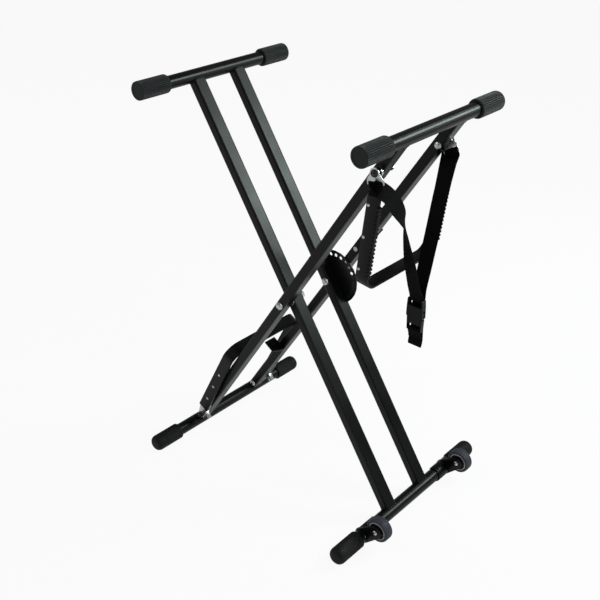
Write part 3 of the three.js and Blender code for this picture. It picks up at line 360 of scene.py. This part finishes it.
far_swing = math.radians(31.7)
far_down = (math.sin(far_swing), -math.cos(far_swing))
far_wide = (-far_down[1], 0, far_down[0])
far_loop = [(98.4, 27), (98.7, 23.6), (100.2, 20.4), (100.7, 17.2), (100.1, 14.7),
            (98.8, 14.4), (97.4, 14.8), (96.9, 17), (96.8, 21.5)]
far_keys = [(on_anchor(far_down, y / 1000, d / 1000), far_wide) for y, d in far_loop]
far_keys += [
    (on_anchor(far_down, 0.0953, 0.027), (0.9, 0.3, 0.4)),
    ((0.22197, 0.0790, 0.7085), (0.95, 0.25, 0.15)),
    ((0.22197, 0.0715, 0.690), (0.96, 0.22, 0)),
    ((0.22097, 0.0600, 0.645), (0.97, 0.18, 0)),
    ((0.21897, 0.0515, 0.596), (0.97, 0.18, 0)),
    ((0.21797, 0.0435, 0.560), (0.98, 0.16, 0)),
    ((0.21747, 0.034, 0.520), (1, 0.1, 0)),
    ((0.21697, 0.0259, 0.484), (1, 0, 0)),
    ((0.21697, 0.0249, 0.440), (1, 0, 0)),
    ((0.21697, 0.0251, 0.400), (1, 0, 0)),
    ((0.21697, 0.0253, 0.374), (1, 0, 0)),
    ((0.21697, 0.0213, 0.3644), (1, 0, 0)),
    ((0.21697, 0.0192, 0.368), (1, 0, 0)),
    ((0.21697, 0.0210, 0.380), (1, 0, 0)),
    ((0.21697, 0.0214, 0.4008), (1, 0, 0)),
    ((0.21697, 0.0180, 0.4044), (1, 0, 0)),
    ((0.21697, 0.0146, 0.4010), (1, 0, 0)),
    ((0.21697, 0.0160, 0.3950), (1, 0, 0)),
    ((0.21697, 0.0184, 0.3880), (1, 0, 0)),
    ((0.21697, 0.0190, 0.3820), (1, 0, 0)),
]
far_strap, far_length, far_line = web_strip("far_strap_webbing", far_keys)
far_stitches = [sewn_rows("far_anchor_stitches", far_line, (60, 64, 68), 1)]
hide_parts("strap_far")
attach(far_strap, "handle_bow")

# ---------------------------------------------------------------- painted steel tube
# Rectangular leg tube and round cross bars of mild steel, MIG welded, then powder coated a
# semi-gloss black whose film has a faint orange peel. The beads run round each coped end.
fold = math.radians(33.27)
pivot_x = -0.01903
pivot_z = 0.409124
pivot = Matrix.Translation((pivot_x, 0, pivot_z))
frame_a = pivot @ Matrix.Rotation(-fold, 4, "Y")
frame_b = pivot @ Matrix.Rotation(fold, 4, "Y")
top_bar_z = 0.4667
top_bar_radius = 0.0127
foot_bar_z = -0.4684
foot_bar_radius = 0.0133
inner_leg_y = 0.0528
outer_leg_y = 0.083
bead_radius = 0.0016
bead_points = 72
bead_half_x = 0.0098
bead_half_y = 0.0143
bead_lift = 0.0003

paint = Finish("black_powder_coat", Coat_Weight=0.07, Coat_Roughness=0.3, Specular_IOR_Level=0.16)
cloudy = paint.grain(9.0, 2.0)
speck = paint.grain(420.0, 2.0)
peel = paint.grain(950.0, 1.5, 0.4)
paint_colour = paint.blend(paint.ramp(cloudy * 0.7 + speck * 0.3, 0.35, 0.65),
                           (0.0015, 0.0015, 0.0018, 1), (0.0032, 0.0032, 0.0038, 1))
soft_edge = paint.node("Bevel", {"samples": 6}, Radius=0.0007)
black_paint = paint.wire(
    Base_Color=paint_colour,
    Roughness=paint.ramp(cloudy, 0.3, 0.7, 0.30, 0.42),
    Normal=paint.relief(peel, 0.00003, under=soft_edge, strength=0.4),
)


def dress(finish, *names):
    """CAD nodes whose shape is right take a finish."""
    for name in names:
        nodes[name].data.materials.clear()
        nodes[name].data.materials.append(finish)


dress(black_paint, *[n for n in nodes if n.startswith(("leg_", "top_bar", "foot_bar"))])


def weld_beads(name, place, body, leg_y):
    """Rippled beads round both ends of two legs, where they meet the bars."""
    curve = bpy.data.curves.new(name, "CURVE")
    curve.dimensions = "3D"
    curve.bevel_depth = bead_radius
    curve.bevel_resolution = 2
    ends = ((top_bar_z, top_bar_radius, -1), (foot_bar_z, foot_bar_radius, 1))
    for y0 in (-leg_y, leg_y):
        for bar_z, bar_radius, side in ends:
            bead = curve.splines.new("POLY")
            bead.points.add(bead_points - 1)
            bead.use_cyclic_u = True
            for i, point in enumerate(bead.points):
                a = 2 * math.pi * i / bead_points
                squared_off = (abs(math.cos(a)) ** 4 + abs(math.sin(a)) ** 4) ** -0.25
                x = bead_half_x * squared_off * math.cos(a)
                y = y0 + bead_half_y * squared_off * math.sin(a)
                z = bar_z + side * math.sqrt((bar_radius + bead_lift) ** 2 - x * x)
                point.co = (x, y, z, 1)
                point.radius = 1.0 + 0.22 * math.sin(i * math.pi / 2) + 0.1 * math.sin(i * 0.9)
    added(name, curve)
    bpy.ops.object.convert(target="MESH")
    piece = bpy.context.object
    piece.data.transform(place)
    bpy.ops.object.shade_smooth()
    piece.data.materials.clear()
    piece.data.materials.append(black_paint)
    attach(piece, body)


weld_beads("weld_beads_inner_frame", frame_a, "frame_a", inner_leg_y)
weld_beads("weld_beads_outer_frame", frame_b, "frame_b", outer_leg_y)

# ---------------------------------------------------------------- rubber caps
# Moulded charcoal rubber sleeves pushed over the bar ends: the top ones are fluted to grip a
# keyboard's underside, and the foot ones are finely ribbed, with a rounded nose.
rubber = Finish("charcoal_rubber", Specular_IOR_Level=0.25)
bloom = rubber.grain(26.0, 3.0)
pores = rubber.grain(1400.0, 2.0)
cap_rubber = rubber.wire(
    Base_Color=rubber.blend(rubber.ramp(bloom, 0.35, 0.7), (0.014, 0.015, 0.0155, 1),
                            (0.024, 0.0255, 0.026, 1)),
    Roughness=rubber.ramp(bloom, 0.3, 0.7, 0.5, 0.66),
    Normal=rubber.relief(pores, 0.00005),
)
# Painted shade: the foot caps take a darker copy of the same cap rubber, which stands in for the
# shade low by the floor.
foot = Finish("black_foot_rubber_with_painted_shade", Specular_IOR_Level=0.2)
shade_darkened_foot_rubber = foot.wire(
    Base_Color=foot.blend(foot.ramp(foot.grain(26.0, 3.0), 0.35, 0.7), (0.0045, 0.0046, 0.0046, 1),
                          (0.0100, 0.0102, 0.0100, 1)),
    Roughness=foot.ramp(foot.grain(40.0), 0.3, 0.7, 0.5, 0.68),
    Normal=foot.relief(foot.grain(1400.0, 2.0), 0.00005),
)


def spun(name, profile, sides, finish, shape=None):
    """A profile of (radius, y) in millimetres spun round Y; shape may move its points."""
    points = [(r / 1000, y / 1000, 0) for r, y in profile]
    edges = [(i, i + 1) for i in range(len(profile) - 1)]
    piece = mesh_piece(name, points, edges, [])
    edit_all()
    bpy.ops.mesh.spin(steps=sides, angle=2 * math.pi, center=(0, 0, 0), axis=(0, 1, 0))
    bpy.ops.mesh.select_all(action="SELECT")
    bpy.ops.mesh.remove_doubles(threshold=0.00001)
    close_outward()
    if shape:
        for vertex in piece.data.vertices:
            vertex.co = shape(vertex.co)
    bpy.ops.object.shade_smooth_by_angle(angle=math.radians(32))
    piece.data.materials.append(finish)
    return piece


def set_at(piece, place, body, slot, *replaced):
    """The piece's mesh goes to its place and rides on its body, instead of the CAD nodes named."""
    piece.data.transform(place)
    if replaced:
        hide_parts(*replaced)
    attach(piece, body)


top_profile = [(0, 189.4), (13, 189.4), (13, 126), (15.9, 126), (16.7, 126.8), (16.8, 127.6),
               (17.7, 128.4), (17.7, 134), (17.7, 146), (17.7, 158), (17.7, 170), (17.7, 182),
               (17.7, 192.4), (17.3, 193.9), (16.3, 194.9), (15.2, 195), (13.2, 195),
               (12.6, 194.3), (0, 194.3)]
foot_profile = [(0, 214.4), (13.6, 214.4), (13.6, 158), (15.7, 158), (16.9, 158.5), (17.5, 159.8),
                (17.5, 162), (17.5, 164), (17.5, 176), (17.5, 190), (17.5, 204), (17.5, 215),
                (17.25, 218.4), (16.4, 221.4), (14.9, 223.9), (12.6, 225.7), (10.2, 226.5),
                (0, 226.7)]
grooved_radius = 0.0172
flutes = 34
flute_depth = 0.0015
foot_ribs = 40
foot_rib_depth = 0.0005


def moved_in(co, radius, depth):
    """The point, nearer to the cap's axis by the depth."""
    inner = radius - depth
    return Vector((co.x * inner / radius, co.y, co.z * inner / radius))


def fluted(co):
    """Round-bottomed flutes with lands between them, along the top cap's sleeve."""
    r = math.hypot(co.x, co.z)
    if r > grooved_radius and 0.128 < co.y < 0.193:
        wave = math.cos(flutes * math.atan2(co.z, co.x))
        return moved_in(co, r, flute_depth * max(0.0, 0.5 - wave) / 1.5)
    return co


def ribbed(co):
    """Shallow waves along the foot cap's sleeve."""
    r = math.hypot(co.x, co.z)
    if r > grooved_radius and 0.163 < co.y < 0.214:
        wave = math.cos(foot_ribs * math.atan2(co.z, co.x))
        return moved_in(co, r, foot_rib_depth * (0.5 - 0.5 * wave))
    return co


for tag, place in (("a", frame_a), ("b", frame_b)):
    for end, half_turn in (("near", math.pi), ("far", 0.0)):
        spin = Matrix.Rotation(half_turn, 4, "Z")
        top_place = place @ Matrix.Translation((0, 0, top_bar_z)) @ spin
        foot_place = place @ Matrix.Translation((0, 0, foot_bar_z)) @ spin
        cap = spun("fluted_top_cap_" + tag + "_" + end, top_profile, 204, cap_rubber, fluted)
        set_at(cap, top_place, "frame_" + tag, "cap_rubber", "top_cap_" + tag + "_" + end)
        # The foot caps take the darker rubber, which is painted shade.
        cap = spun("ribbed_foot_cap_" + tag + "_" + end, foot_profile, 200, shade_darkened_foot_rubber, ribbed)
        set_at(cap, foot_place, "frame_" + tag, "cap_rubber", "foot_cap_" + tag + "_" + end)

# ---------------------------------------------------------------- pivots and fasteners
# Zinc-plated bolts with lock nuts, a washer on the open side, and blackened fasteners where
# the plating would show beside the strap and the toe bracket.
plate = Finish("bright_zinc_plate", Metallic=1.0)
spangle = plate.grain(240.0, 2.0)
zinc = plate.wire(
    Base_Color=plate.blend(plate.ramp(spangle, 0.35, 0.65), (0.50, 0.51, 0.53, 1),
                           (0.68, 0.69, 0.68, 1)),
    Roughness=plate.ramp(plate.grain(90.0), 0.3, 0.7, 0.22, 0.38),
    Normal=plate.relief(plate.grain(700.0), 0.00003),
)
dress(zinc, *[n for n in nodes if n.startswith(("pivot_", "strap_anchor", "toe_bolt"))])
dress(zinc, "lock_pin", "bracket_rivet", "fulcrum_pin", "bow_spacer_near", "bow_nut_near",
      "bow_bolt_far")
dark = Finish("blackened_steel", Metallic=0.9)
dark_steel = dark.wire(
    Base_Color=dark.blend(dark.ramp(dark.grain(300.0), 0.35, 0.65), (0.03, 0.031, 0.035, 1),
                          (0.06, 0.062, 0.068, 1)),
    Roughness=dark.ramp(dark.grain(120.0), 0.3, 0.7, 0.3, 0.45),
    Normal=dark.relief(dark.grain(900.0), 0.00003),
)
dress(dark_steel, "bow_bolt_near", "bow_nut_far", "toe_nut_near", "toe_nut_far")

# ---------------------------------------------------------------- lock disc, pin and lever
# A punched and painted steel disc, scuffed to a dull ring where the pin drags from hole to
# hole, with the sprung zinc pin and its painted squeeze lever on the far leg.
disc = Finish("scuffed_disc_paint", Coat_Weight=0.1, Coat_Roughness=0.25, Specular_IOR_Level=0.22)
hole_circle = 0.0495
from_pivot = disc.node("Mapping", Vector=disc.place(), Location=(-pivot_x, 0, -pivot_z))
sideways = disc.node("SeparateXYZ", i0=from_pivot)
upward = sideways.sibling(2)
radius = (sideways * sideways + upward * upward).math("SQRT")
pin_track = disc.ramp((radius - hole_circle).math("ABSOLUTE"), 0.0045, 0.001)
rubbed = pin_track * disc.ramp(disc.grain(160.0), 0.4, 0.65)
disc_paint = disc.wire(
    Base_Color=disc.blend(rubbed * 0.7, (0.006, 0.0062, 0.0075, 1), (0.05, 0.052, 0.055, 1)),
    Roughness=disc.ramp(rubbed, 0.0, 1.0, 0.34, 0.5),
    Normal=disc.relief(disc.grain(950.0, 1.5), 0.00005,
                       under=disc.node("Bevel", {"samples": 6}, Radius=0.0004)),
)
dress(disc_paint, "lock_disc")
dress(black_paint, "lever_bracket", "lock_lever", "fold_stop")
coil = Finish("spring_wire", Metallic=1.0)
spring_wire = coil.wire(
    Base_Color=coil.blend(coil.ramp(coil.grain(500.0), 0.35, 0.65), (0.34, 0.34, 0.36, 1),
                          (0.5, 0.5, 0.51, 1)),
    Roughness=coil.ramp(coil.grain(300.0), 0.3, 0.7, 0.2, 0.35),
)
dress(spring_wire, "lock_spring")

# ---------------------------------------------------------------- handle bow
# Flat steel bar bent to a U, painted with the frame, with zinc rivets down each arm. Its hinge
# hole is nearer the back edge, and the top ends narrow round it.
bow_swing = math.radians(7.2)
bow_hinge = frame_b @ Matrix.Translation((0.0036, 0, 0.400))
bow_place = bow_hinge @ Matrix.Rotation(bow_swing - fold, 4, "Y")
# The bar's sizes, from the hinge's axis, are in millimetres, and the rivets' places in metres.
bar_thick = 4.0
bow_back = 9.4
bow_front = 16.6
bow_length = 224.0
bow_middle_y = 104.0
bow_corner = 26.0
neck_top = 1.2 * bow_back
neck_bottom = 2.6 * bow_back
neck_length = 1.4 * bow_back
rivet_x = -0.0047
arm_outer_y = 0.106
arm_inner_y = 0.102


def finish_solid(piece, round_over, finish, segments=2):
    """Edges eased by a bevel in millimetres, then smooth shading and the finish."""
    alone(piece)
    ease = piece.modifiers.new("eased", "BEVEL")
    ease.width = round_over / 1000
    ease.segments = segments
    ease.limit_method = "ANGLE"
    ease.angle_limit = math.radians(40)
    bpy.ops.object.modifier_apply(modifier=ease.name)
    bpy.ops.object.shade_smooth_by_angle(angle=math.radians(35))
    piece.data.materials.clear()
    piece.data.materials.append(finish)


def flat_bar(name, path, back, front, shape, finish):
    """A line of (y, z) in millimetres swept from back to front, shaped and given its thickness."""
    points = [(back / 1000, y / 1000, z / 1000) for y, z in path]
    edges = [(i, i + 1) for i in range(len(path) - 1)]
    piece = mesh_piece(name, points, edges, [])
    edit_all()
    sweep = ((front - back) / 1000, 0, 0)
    bpy.ops.mesh.extrude_region_move(TRANSFORM_OT_translate={"value": sweep})
    bpy.ops.object.mode_set(mode="OBJECT")
    for vertex in piece.data.vertices:
        vertex.co = shape(vertex.co)
    thick = piece.modifiers.new("plate", "SOLIDIFY")
    thick.thickness = bar_thick / 1000
    thick.offset = 0
    bpy.ops.object.modifier_apply(modifier=thick.name)
    finish_solid(piece, 0.6, finish)
    return piece


def u_path(half, corner, bottom, tops):
    """Middle line of a U from one arm's top round two corners to the other's."""
    arm = [(-half, z) for z in tops]
    bend = []
    steps = 12
    for i in range(steps + 1):
        a = math.pi / 2 * i / steps
        bend.append((-half + corner - corner * math.cos(a), bottom + corner - corner * math.sin(a)))
    left = arm + bend
    return left + [(-y, z) for y, z in reversed(left)]


def narrowed(co):
    """Round the hinge the arm is as wide as the eye, and it widens below."""
    z = co.z * 1000
    if z > 0:
        reach = math.sqrt(max(bow_back ** 2 - z * z, 0.04))
        return Vector((math.copysign(reach, co.x) / 1000, co.y, co.z))
    if co.x > 0 and z > -neck_bottom:
        t = min(max((z + neck_bottom) / neck_length, 0), 1)
        return Vector(((bow_front + (bow_back - bow_front) * t) / 1000, co.y, co.z))
    return co


eye_rows = [bow_back * math.sin(math.radians(a)) for a in (88, 75, 60, 45, 30, 15)]
arm_rows = eye_rows + [0, -neck_top, -neck_bottom, -60, -120, -180]
bow_path = u_path(bow_middle_y, bow_corner, -bow_length + bar_thick / 2, arm_rows)
bow = flat_bar("bent_handle_bow", bow_path, -bow_back, bow_front, narrowed, black_paint)
set_at(bow, bow_place, "handle_bow", "frame_paint", "bow_bar")
head_profile = [(0, -0.2), (2.9, -0.2), (3.0, 0.5), (2.6, 1.1), (1.7, 1.5), (0, 1.7)]


def joined(name, pieces):
    """The pieces made into one, which takes the name and stays active."""
    bpy.ops.object.select_all(action="DESELECT")
    for piece in pieces:
        piece.select_set(True)
    bpy.context.view_layer.objects.active = pieces[0]
    bpy.ops.object.join()
    whole = bpy.context.object
    whole.name = name
    return whole


def rivet_heads(name, spots, place, body):
    """A domed head at each spot, which is a point and a turn about X, made into one piece."""
    heads = []
    for point, half_turn in spots:
        head = spun(name + "_part", head_profile, 20, zinc)
        turn = Matrix.Rotation(half_turn, 4, "X")
        head.data.transform(Matrix.Translation(point) @ turn)
        heads.append(head)
    set_at(joined(name, heads), place, body, "zinc")


bow_spots = []
for share in (0.27, 0.54, 0.82):
    z = -share * bow_length / 1000
    bow_spots.append(((rivet_x, arm_outer_y, z), 0.0))
    bow_spots.append(((rivet_x, -arm_outer_y, z), math.pi))
    bow_spots.append(((rivet_x, arm_inner_y, z), math.pi))
rivet_heads("bow_arm_rivets", bow_spots, bow_place, "handle_bow")

# ---------------------------------------------------------------- ribbed grips
# Two black rubber strips, moulded as a channel with square ribs across it. Each is pushed over
# the front edge of an arm, between the hinge and the handle's bend.
grip = Finish("black_grip_rubber", Specular_IOR_Level=0.2)
grip_rubber = grip.wire(
    Base_Color=grip.blend(grip.ramp(grip.grain(40.0), 0.35, 0.7), (0.004, 0.004, 0.0042, 1),
                          (0.010, 0.010, 0.0105, 1)),
    Roughness=grip.ramp(grip.grain(60.0), 0.3, 0.7, 0.55, 0.75),
    Normal=grip.relief(grip.grain(1600.0), 0.00005,
                       under=grip.node("Bevel", {"samples": 6}, Radius=0.0006)),
)
# From the hinge's axis and from the bar, in millimetres.
grip_top = 56.0
grip_above_bend = 28.0
grip_span = bow_length - grip_above_bend - grip_top
grip_ribs = 18
grip_pitch = grip_span / grip_ribs
grip_half_rib = 0.28 * grip_pitch
grip_cover = 5.4
grip_wall = 1.0
grip_rib = 1.3


def boxes(name, blocks):
    """Square blocks (x0, x1, y0, y1, z0, z1) in millimetres in one mesh."""
    bpy.ops.object.select_all(action="DESELECT")
    made = []
    for x0, x1, y0, y1, z0, z1 in blocks:
        middle = ((x0 + x1) / 2000, (y0 + y1) / 2000, (z0 + z1) / 2000)
        size = ((x1 - x0) / 1000, (y1 - y0) / 1000, (z1 - z0) / 1000, 1)
        bpy.ops.mesh.primitive_cube_add(size=1, location=(0, 0, 0))
        block = bpy.context.object
        block.data.transform(Matrix.Translation(middle) @ Matrix.Diagonal(size))
        made.append(block)
    return joined(name, made)


for end, side in (("near", -1), ("far", 1)):
    mid = side * bow_middle_y
    wide = 2.3 + grip_wall
    back_x = bow_front - grip_cover
    front_x = bow_front + 0.3 + grip_wall
    blocks = [(back_x, front_x, mid - wide, mid + wide, -grip_top - grip_span, -grip_top)]
    for i in range(grip_ribs):
        z = -grip_top - (i + 0.5) * grip_pitch
        blocks.append((back_x + grip_rib, front_x + grip_rib, mid - wide - grip_rib,
                       mid + wide + grip_rib, z - grip_half_rib, z + grip_half_rib))
    strip = boxes("ribbed_grip_" + end, blocks)
    finish_solid(strip, 0.4, grip_rubber, 1)
    set_at(strip, bow_place, "handle_bow", "grip_rubber", "grip_pad_" + end)

# ---------------------------------------------------------------- side-release buckle
# Injection-moulded black acetal in two halves, with rounded edges and a fine spark texture. The
# prong is clicked into the socket, and each half hangs in a fold of its strap.
acetal = Finish("black_acetal", Specular_IOR_Level=0.16)
buckle_plastic = acetal.wire(
    Base_Color=acetal.blend(acetal.ramp(acetal.grain(80.0), 0.3, 0.7), (0.0022, 0.0022, 0.0024, 1),
                            (0.0050, 0.0050, 0.0052, 1)),
    Roughness=acetal.ramp(acetal.grain(200.0), 0.3, 0.7, 0.32, 0.48),
    Normal=acetal.relief(acetal.grain(1500.0), 0.00004,
                         under=acetal.node("Bevel", {"samples": 6}, Radius=0.0008)),
)
dress(buckle_plastic, "buckle_socket", "buckle_prong")

# ---------------------------------------------------------------- toe bracket
# The same flat bar bent to a wider U and painted, with zinc rivets down each arm. It is fixed to
# zinc-plated hinge plates, which are bolted to the legs above the foot bar.
toe_lean = math.radians(5.65)
toe_hinge = frame_b @ Matrix.Translation((0, 0, -0.4455))
toe_place = toe_hinge @ Matrix.Rotation(-toe_lean, 4, "Y")
# The faces of a hinge plate and its flange, in millimetres.
hinge_inner_y = 97.3
hinge_outer_y = 99.9
flange_outer_y = 107.3
dress(black_paint, "toe_bar")
toe_spots = []
for z in (0.070, 0.116, 0.160):
    toe_spots.append(((0, arm_outer_y, z), 0.0))
    toe_spots.append(((0, -arm_outer_y, z), math.pi))
rivet_heads("toe_arm_rivets", toe_spots, toe_place, "toe_bracket")


def slab(name, outlines, round_over, finish):
    """Outlines of (x, z), each with its y0 and y1, in millimetres, extruded and joined."""
    made = []
    for outline, y0, y1 in outlines:
        points = [(x / 1000, y0 / 1000, z / 1000) for x, z in outline]
        layer = mesh_piece(name, points, [], [list(range(len(outline)))])
        edit_all()
        depth = (0, (y1 - y0) / 1000, 0)
        bpy.ops.mesh.extrude_region_move(TRANSFORM_OT_translate={"value": depth})
        close_outward()
        made.append(layer)
    whole = joined(name, made)
    finish_solid(whole, round_over, finish)
    return whole


def arc(x, z, radius, start, end, steps):
    """Points on an arc round (x, z), from one angle in degrees to another."""
    turns = [math.radians(start + (end - start) * i / steps) for i in range(steps + 1)]
    return [(x + radius * math.cos(a), z + radius * math.sin(a)) for a in turns]


hinge_eye = arc(0, 0, 8.4, 171, 369, 22)
plate_outline = hinge_eye + [(12.6, 26), (12.6, 52), (-12.6, 52), (-12.6, 26)]
lobe = [(8, 17), (11.4, 31.6), (26.2, 23.1), (21.8, 15.8)]
flange = [(11.4, 31.6), (26.2, 23.1), (24.9, 20.8), (10.1, 29.3)]
for end, side in (("near", -1), ("far", 1)):
    inner = side * hinge_inner_y
    outer = side * hinge_outer_y
    outlines = [(plate_outline, inner, outer), (lobe, inner, outer),
                (flange, inner, side * flange_outer_y)]
    piece = slab("toe_hinge_plate_" + end, outlines, 0.4, zinc)
    set_at(piece, toe_place, "toe_bracket", "zinc", "toe_hinge_" + end)

# ---------------------------------------------------------------- transport wheels
# Light grey moulded rim and a black recessed core, with a soft blue-grey tyre moulded round
# it. The bracket is pressed steel, painted, and clips over the foot bar.
# The wheels' places are in metres, and the sizes of the cheek and the saddle in millimetres.
axle_x = 0.268985
axle_z = 0.04362
wheel_y = {"near": -0.131, "far": 0.146}
saddle_y = {"near": (-13, 32), "far": (-49, 4)}
bar_at = frame_a @ Vector((0, 0, foot_bar_z))
to_axle = Vector((axle_x - bar_at.x, axle_z - bar_at.z))
reach = to_axle.length * 1000
bracket_turn = Matrix.Rotation(-math.atan2(to_axle.y, to_axle.x), 4, "Y")
saddle_in = 13.6
saddle_out = 15.6
bar_eye = saddle_out + 1
axle_eye = 13.0
lean = math.degrees(math.asin((bar_eye - axle_eye) / reach))
bar_end = arc(0, 0, bar_eye, 90 - lean, 270 + lean, 24)
axle_end = arc(reach, 0, axle_eye, -90 + lean, 90 - lean, 20)
cheek = bar_end + axle_end
shell = arc(0, 0, saddle_out, -97, 97, 26) + arc(0, 0, saddle_in, 97, -97, 26)
screw_profile = [(0, -17.4), (2.6, -17.2), (3.9, -16.6), (4.7, -15.6), (4.8, -14.2), (2.9, -14.2),
                 (2.9, 8), (0, 8)]
for end, y in wheel_y.items():
    outlines = [(cheek, -14, -11), (shell, *saddle_y[end])]
    bracket = slab("pressed_wheel_bracket_" + end, outlines, 0.5, black_paint)
    bar_place = Matrix.Translation((bar_at.x, y, bar_at.z)) @ bracket_turn
    set_at(bracket, bar_place, "frame_a", "frame_paint", "wheel_bracket_" + end)
    screw = spun("axle_screw_" + end, screw_profile, 28, zinc)
    set_at(screw, Matrix.Translation((axle_x, y, axle_z)), "frame_a", "zinc", "axle_bolt_" + end)
screw_spots = [((saddle_in / 1000 - 0.0004, -0.020, 0), 0.0)]
near_saddle = Matrix.Translation((bar_at.x, wheel_y["near"], bar_at.z))
screw_place = near_saddle @ Matrix.Rotation(math.radians(-34), 4, "Y")
rivet_heads("bracket_screw", screw_spots, screw_place, "frame_a")
moulded = Finish("light_grey_wheel_plastic", Specular_IOR_Level=0.4)
flow = moulded.grain(50.0, 2.0)
wheel_plastic = moulded.wire(
    Base_Color=moulded.blend(moulded.ramp(flow, 0.3, 0.7), (0.42, 0.43, 0.46, 1),
                             (0.52, 0.53, 0.56, 1)),
    Roughness=moulded.ramp(flow, 0.3, 0.7, 0.38, 0.52),
    Normal=moulded.relief(moulded.grain(1200.0), 0.00004),
)
soft = Finish("blue_grey_tyre", Specular_IOR_Level=0.25)
tread = soft.grain(70.0, 3.0)
tyre_rubber = soft.wire(
    Base_Color=soft.blend(soft.ramp(tread, 0.3, 0.7), (0.040, 0.043, 0.056, 1),
                          (0.058, 0.062, 0.080, 1)),
    Roughness=soft.ramp(tread, 0.3, 0.7, 0.5, 0.7),
    Normal=soft.relief(soft.grain(1300.0), 0.00005),
)
core = Finish("black_hub_core", Specular_IOR_Level=0.25)
core_plastic = core.wire(
    Base_Color=core.blend(core.ramp(core.grain(90.0), 0.3, 0.7), (0.006, 0.006, 0.0065, 1),
                          (0.012, 0.012, 0.0125, 1)),
    Roughness=core.ramp(core.grain(140.0), 0.3, 0.7, 0.4, 0.55),
    Normal=core.relief(core.grain(1300.0), 0.00004),
)
tyre_profile = [(19.3, -10), (21.6, -10), (22.9, -9.6), (23.9, -8.4), (24.4, -6.6), (24.5, -4.4),
                (24.1, -4.1), (24.1, -3.7), (24.5, -3.4), (24.5, 3.4), (24.1, 3.7), (24.1, 4.1),
                (24.5, 4.4), (24.4, 6.6), (23.9, 8.4), (22.9, 9.6), (21.6, 10), (19.3, 10),
                (19.3, -10)]
rim_profile = [(16.6, -9.2), (17.1, -9.8), (18.5, -9.8), (19.0, -9.3), (19.0, 9.3), (18.5, 9.8),
               (17.1, 9.8), (16.6, 9.2), (16.6, -9.2)]
core_profile = [(3.3, -9.4), (6.6, -9.4), (7.4, -8.8), (8.2, -6.2), (15.0, -6.0), (16.55, -5.0),
                (16.55, 5.0), (15.0, 6.0), (8.2, 6.2), (7.4, 8.8), (6.6, 9.4), (3.3, 9.4),
                (3.3, -9.4)]
for end, y in wheel_y.items():
    wheel_place = Matrix.Translation((axle_x, y, axle_z))
    tyre = spun("soft_tyre_" + end, tyre_profile, 96, tyre_rubber)
    set_at(tyre, wheel_place, "wheel_" + end, "tyre", "tyre_" + end)
    rim = spun("wheel_rim_" + end, rim_profile, 80, wheel_plastic)
    set_at(rim, wheel_place, "wheel_" + end, "wheel_plastic", "wheel_hub_" + end)
    hub_core = spun("hub_core_" + end, core_profile, 64, core_plastic)
    set_at(hub_core, wheel_place, "wheel_" + end, "wheel_plastic")

# ---------------------------------------------------------------- floor and light
# A pale matt floor, which the camera sees almost white, under three large studio panels. The
# surroundings are white to the camera and dim as a light.
bpy.ops.object.select_all(action="DESELECT")
bpy.ops.mesh.primitive_plane_add(size=14, location=(0, 0, -0.0004))
floor = bpy.context.object
floor.name = "pale_floor"
ground = Finish("pale_floor_paint", Base_Color=(0.86, 0.86, 0.86, 1), Roughness=0.9,
                Specular_IOR_Level=0.1)
seen = ground.node("LightPath", out=0)
glossy = ground.node("LightPath", out=3)
bright = ground.node("Emission", Color=(1, 1, 1, 1), Strength=1.0)
plain = Sock(ground.tree, ground.shader.outputs[0])
share = (seen * 0.93).math("MAXIMUM", glossy * 0.4)
mixed = ground.node("MixShader", i0=share, i1=plain, i2=bright)
ground.tree.links.new(mixed.socket, ground.tree.nodes["Material Output"].inputs["Surface"])
floor.data.materials.append(ground.mat)

world = bpy.data.worlds.new("studio")
bpy.context.scene.world = world
world.use_nodes = True
sky = world.node_tree
shade = sky.nodes["Background"]
shade.inputs["Color"].default_value = (1, 1, 1, 1)
path = sky.nodes.new("ShaderNodeLightPath")
camera_or_gloss = sky.nodes.new("ShaderNodeMath")
camera_or_gloss.operation = "MAXIMUM"
sky.links.new(path.outputs["Is Camera Ray"], camera_or_gloss.inputs[0])
sky.links.new(path.outputs["Is Transmission Ray"], camera_or_gloss.inputs[1])
level = sky.nodes.new("ShaderNodeMapRange")
level.inputs["To Min"].default_value = 0.20
level.inputs["To Max"].default_value = 1.0
sky.links.new(camera_or_gloss.outputs[0], level.inputs["Value"])
sky.links.new(level.outputs[0], shade.inputs["Strength"])


def panel(name, place, aim, width, height, watts, colour):
    """A flat lamp that faces its aim."""
    lamp = bpy.data.lights.new(name, "AREA")
    lamp.shape = "RECTANGLE"
    lamp.size = width
    lamp.size_y = height
    lamp.energy = watts
    lamp.color = colour
    holder = bpy.data.objects.new(name, lamp)
    holder.location = place
    holder.rotation_euler = (Vector(aim) - Vector(place)).to_track_quat("-Z", "Y").to_euler()
    bpy.context.scene.collection.objects.link(holder)


panel("key_panel", (-1.6, -2.2, 2.6), (0, 0, 0.4), 1.6, 1.2, 20, (0.92, 0.89, 1.0))
panel("right_panel", (2.6, -0.4, 2.0), (0, 0, 0.45), 1.0, 1.0, 12, (1.0, 1.0, 0.97))
panel("rear_panel", (1.05, 1.30, 1.45), (-0.2, -0.05, 0.6), 0.7, 0.7, 26, (0.86, 1.0, 0.96))

bpy.context.scene.view_settings.view_transform = "Standard"
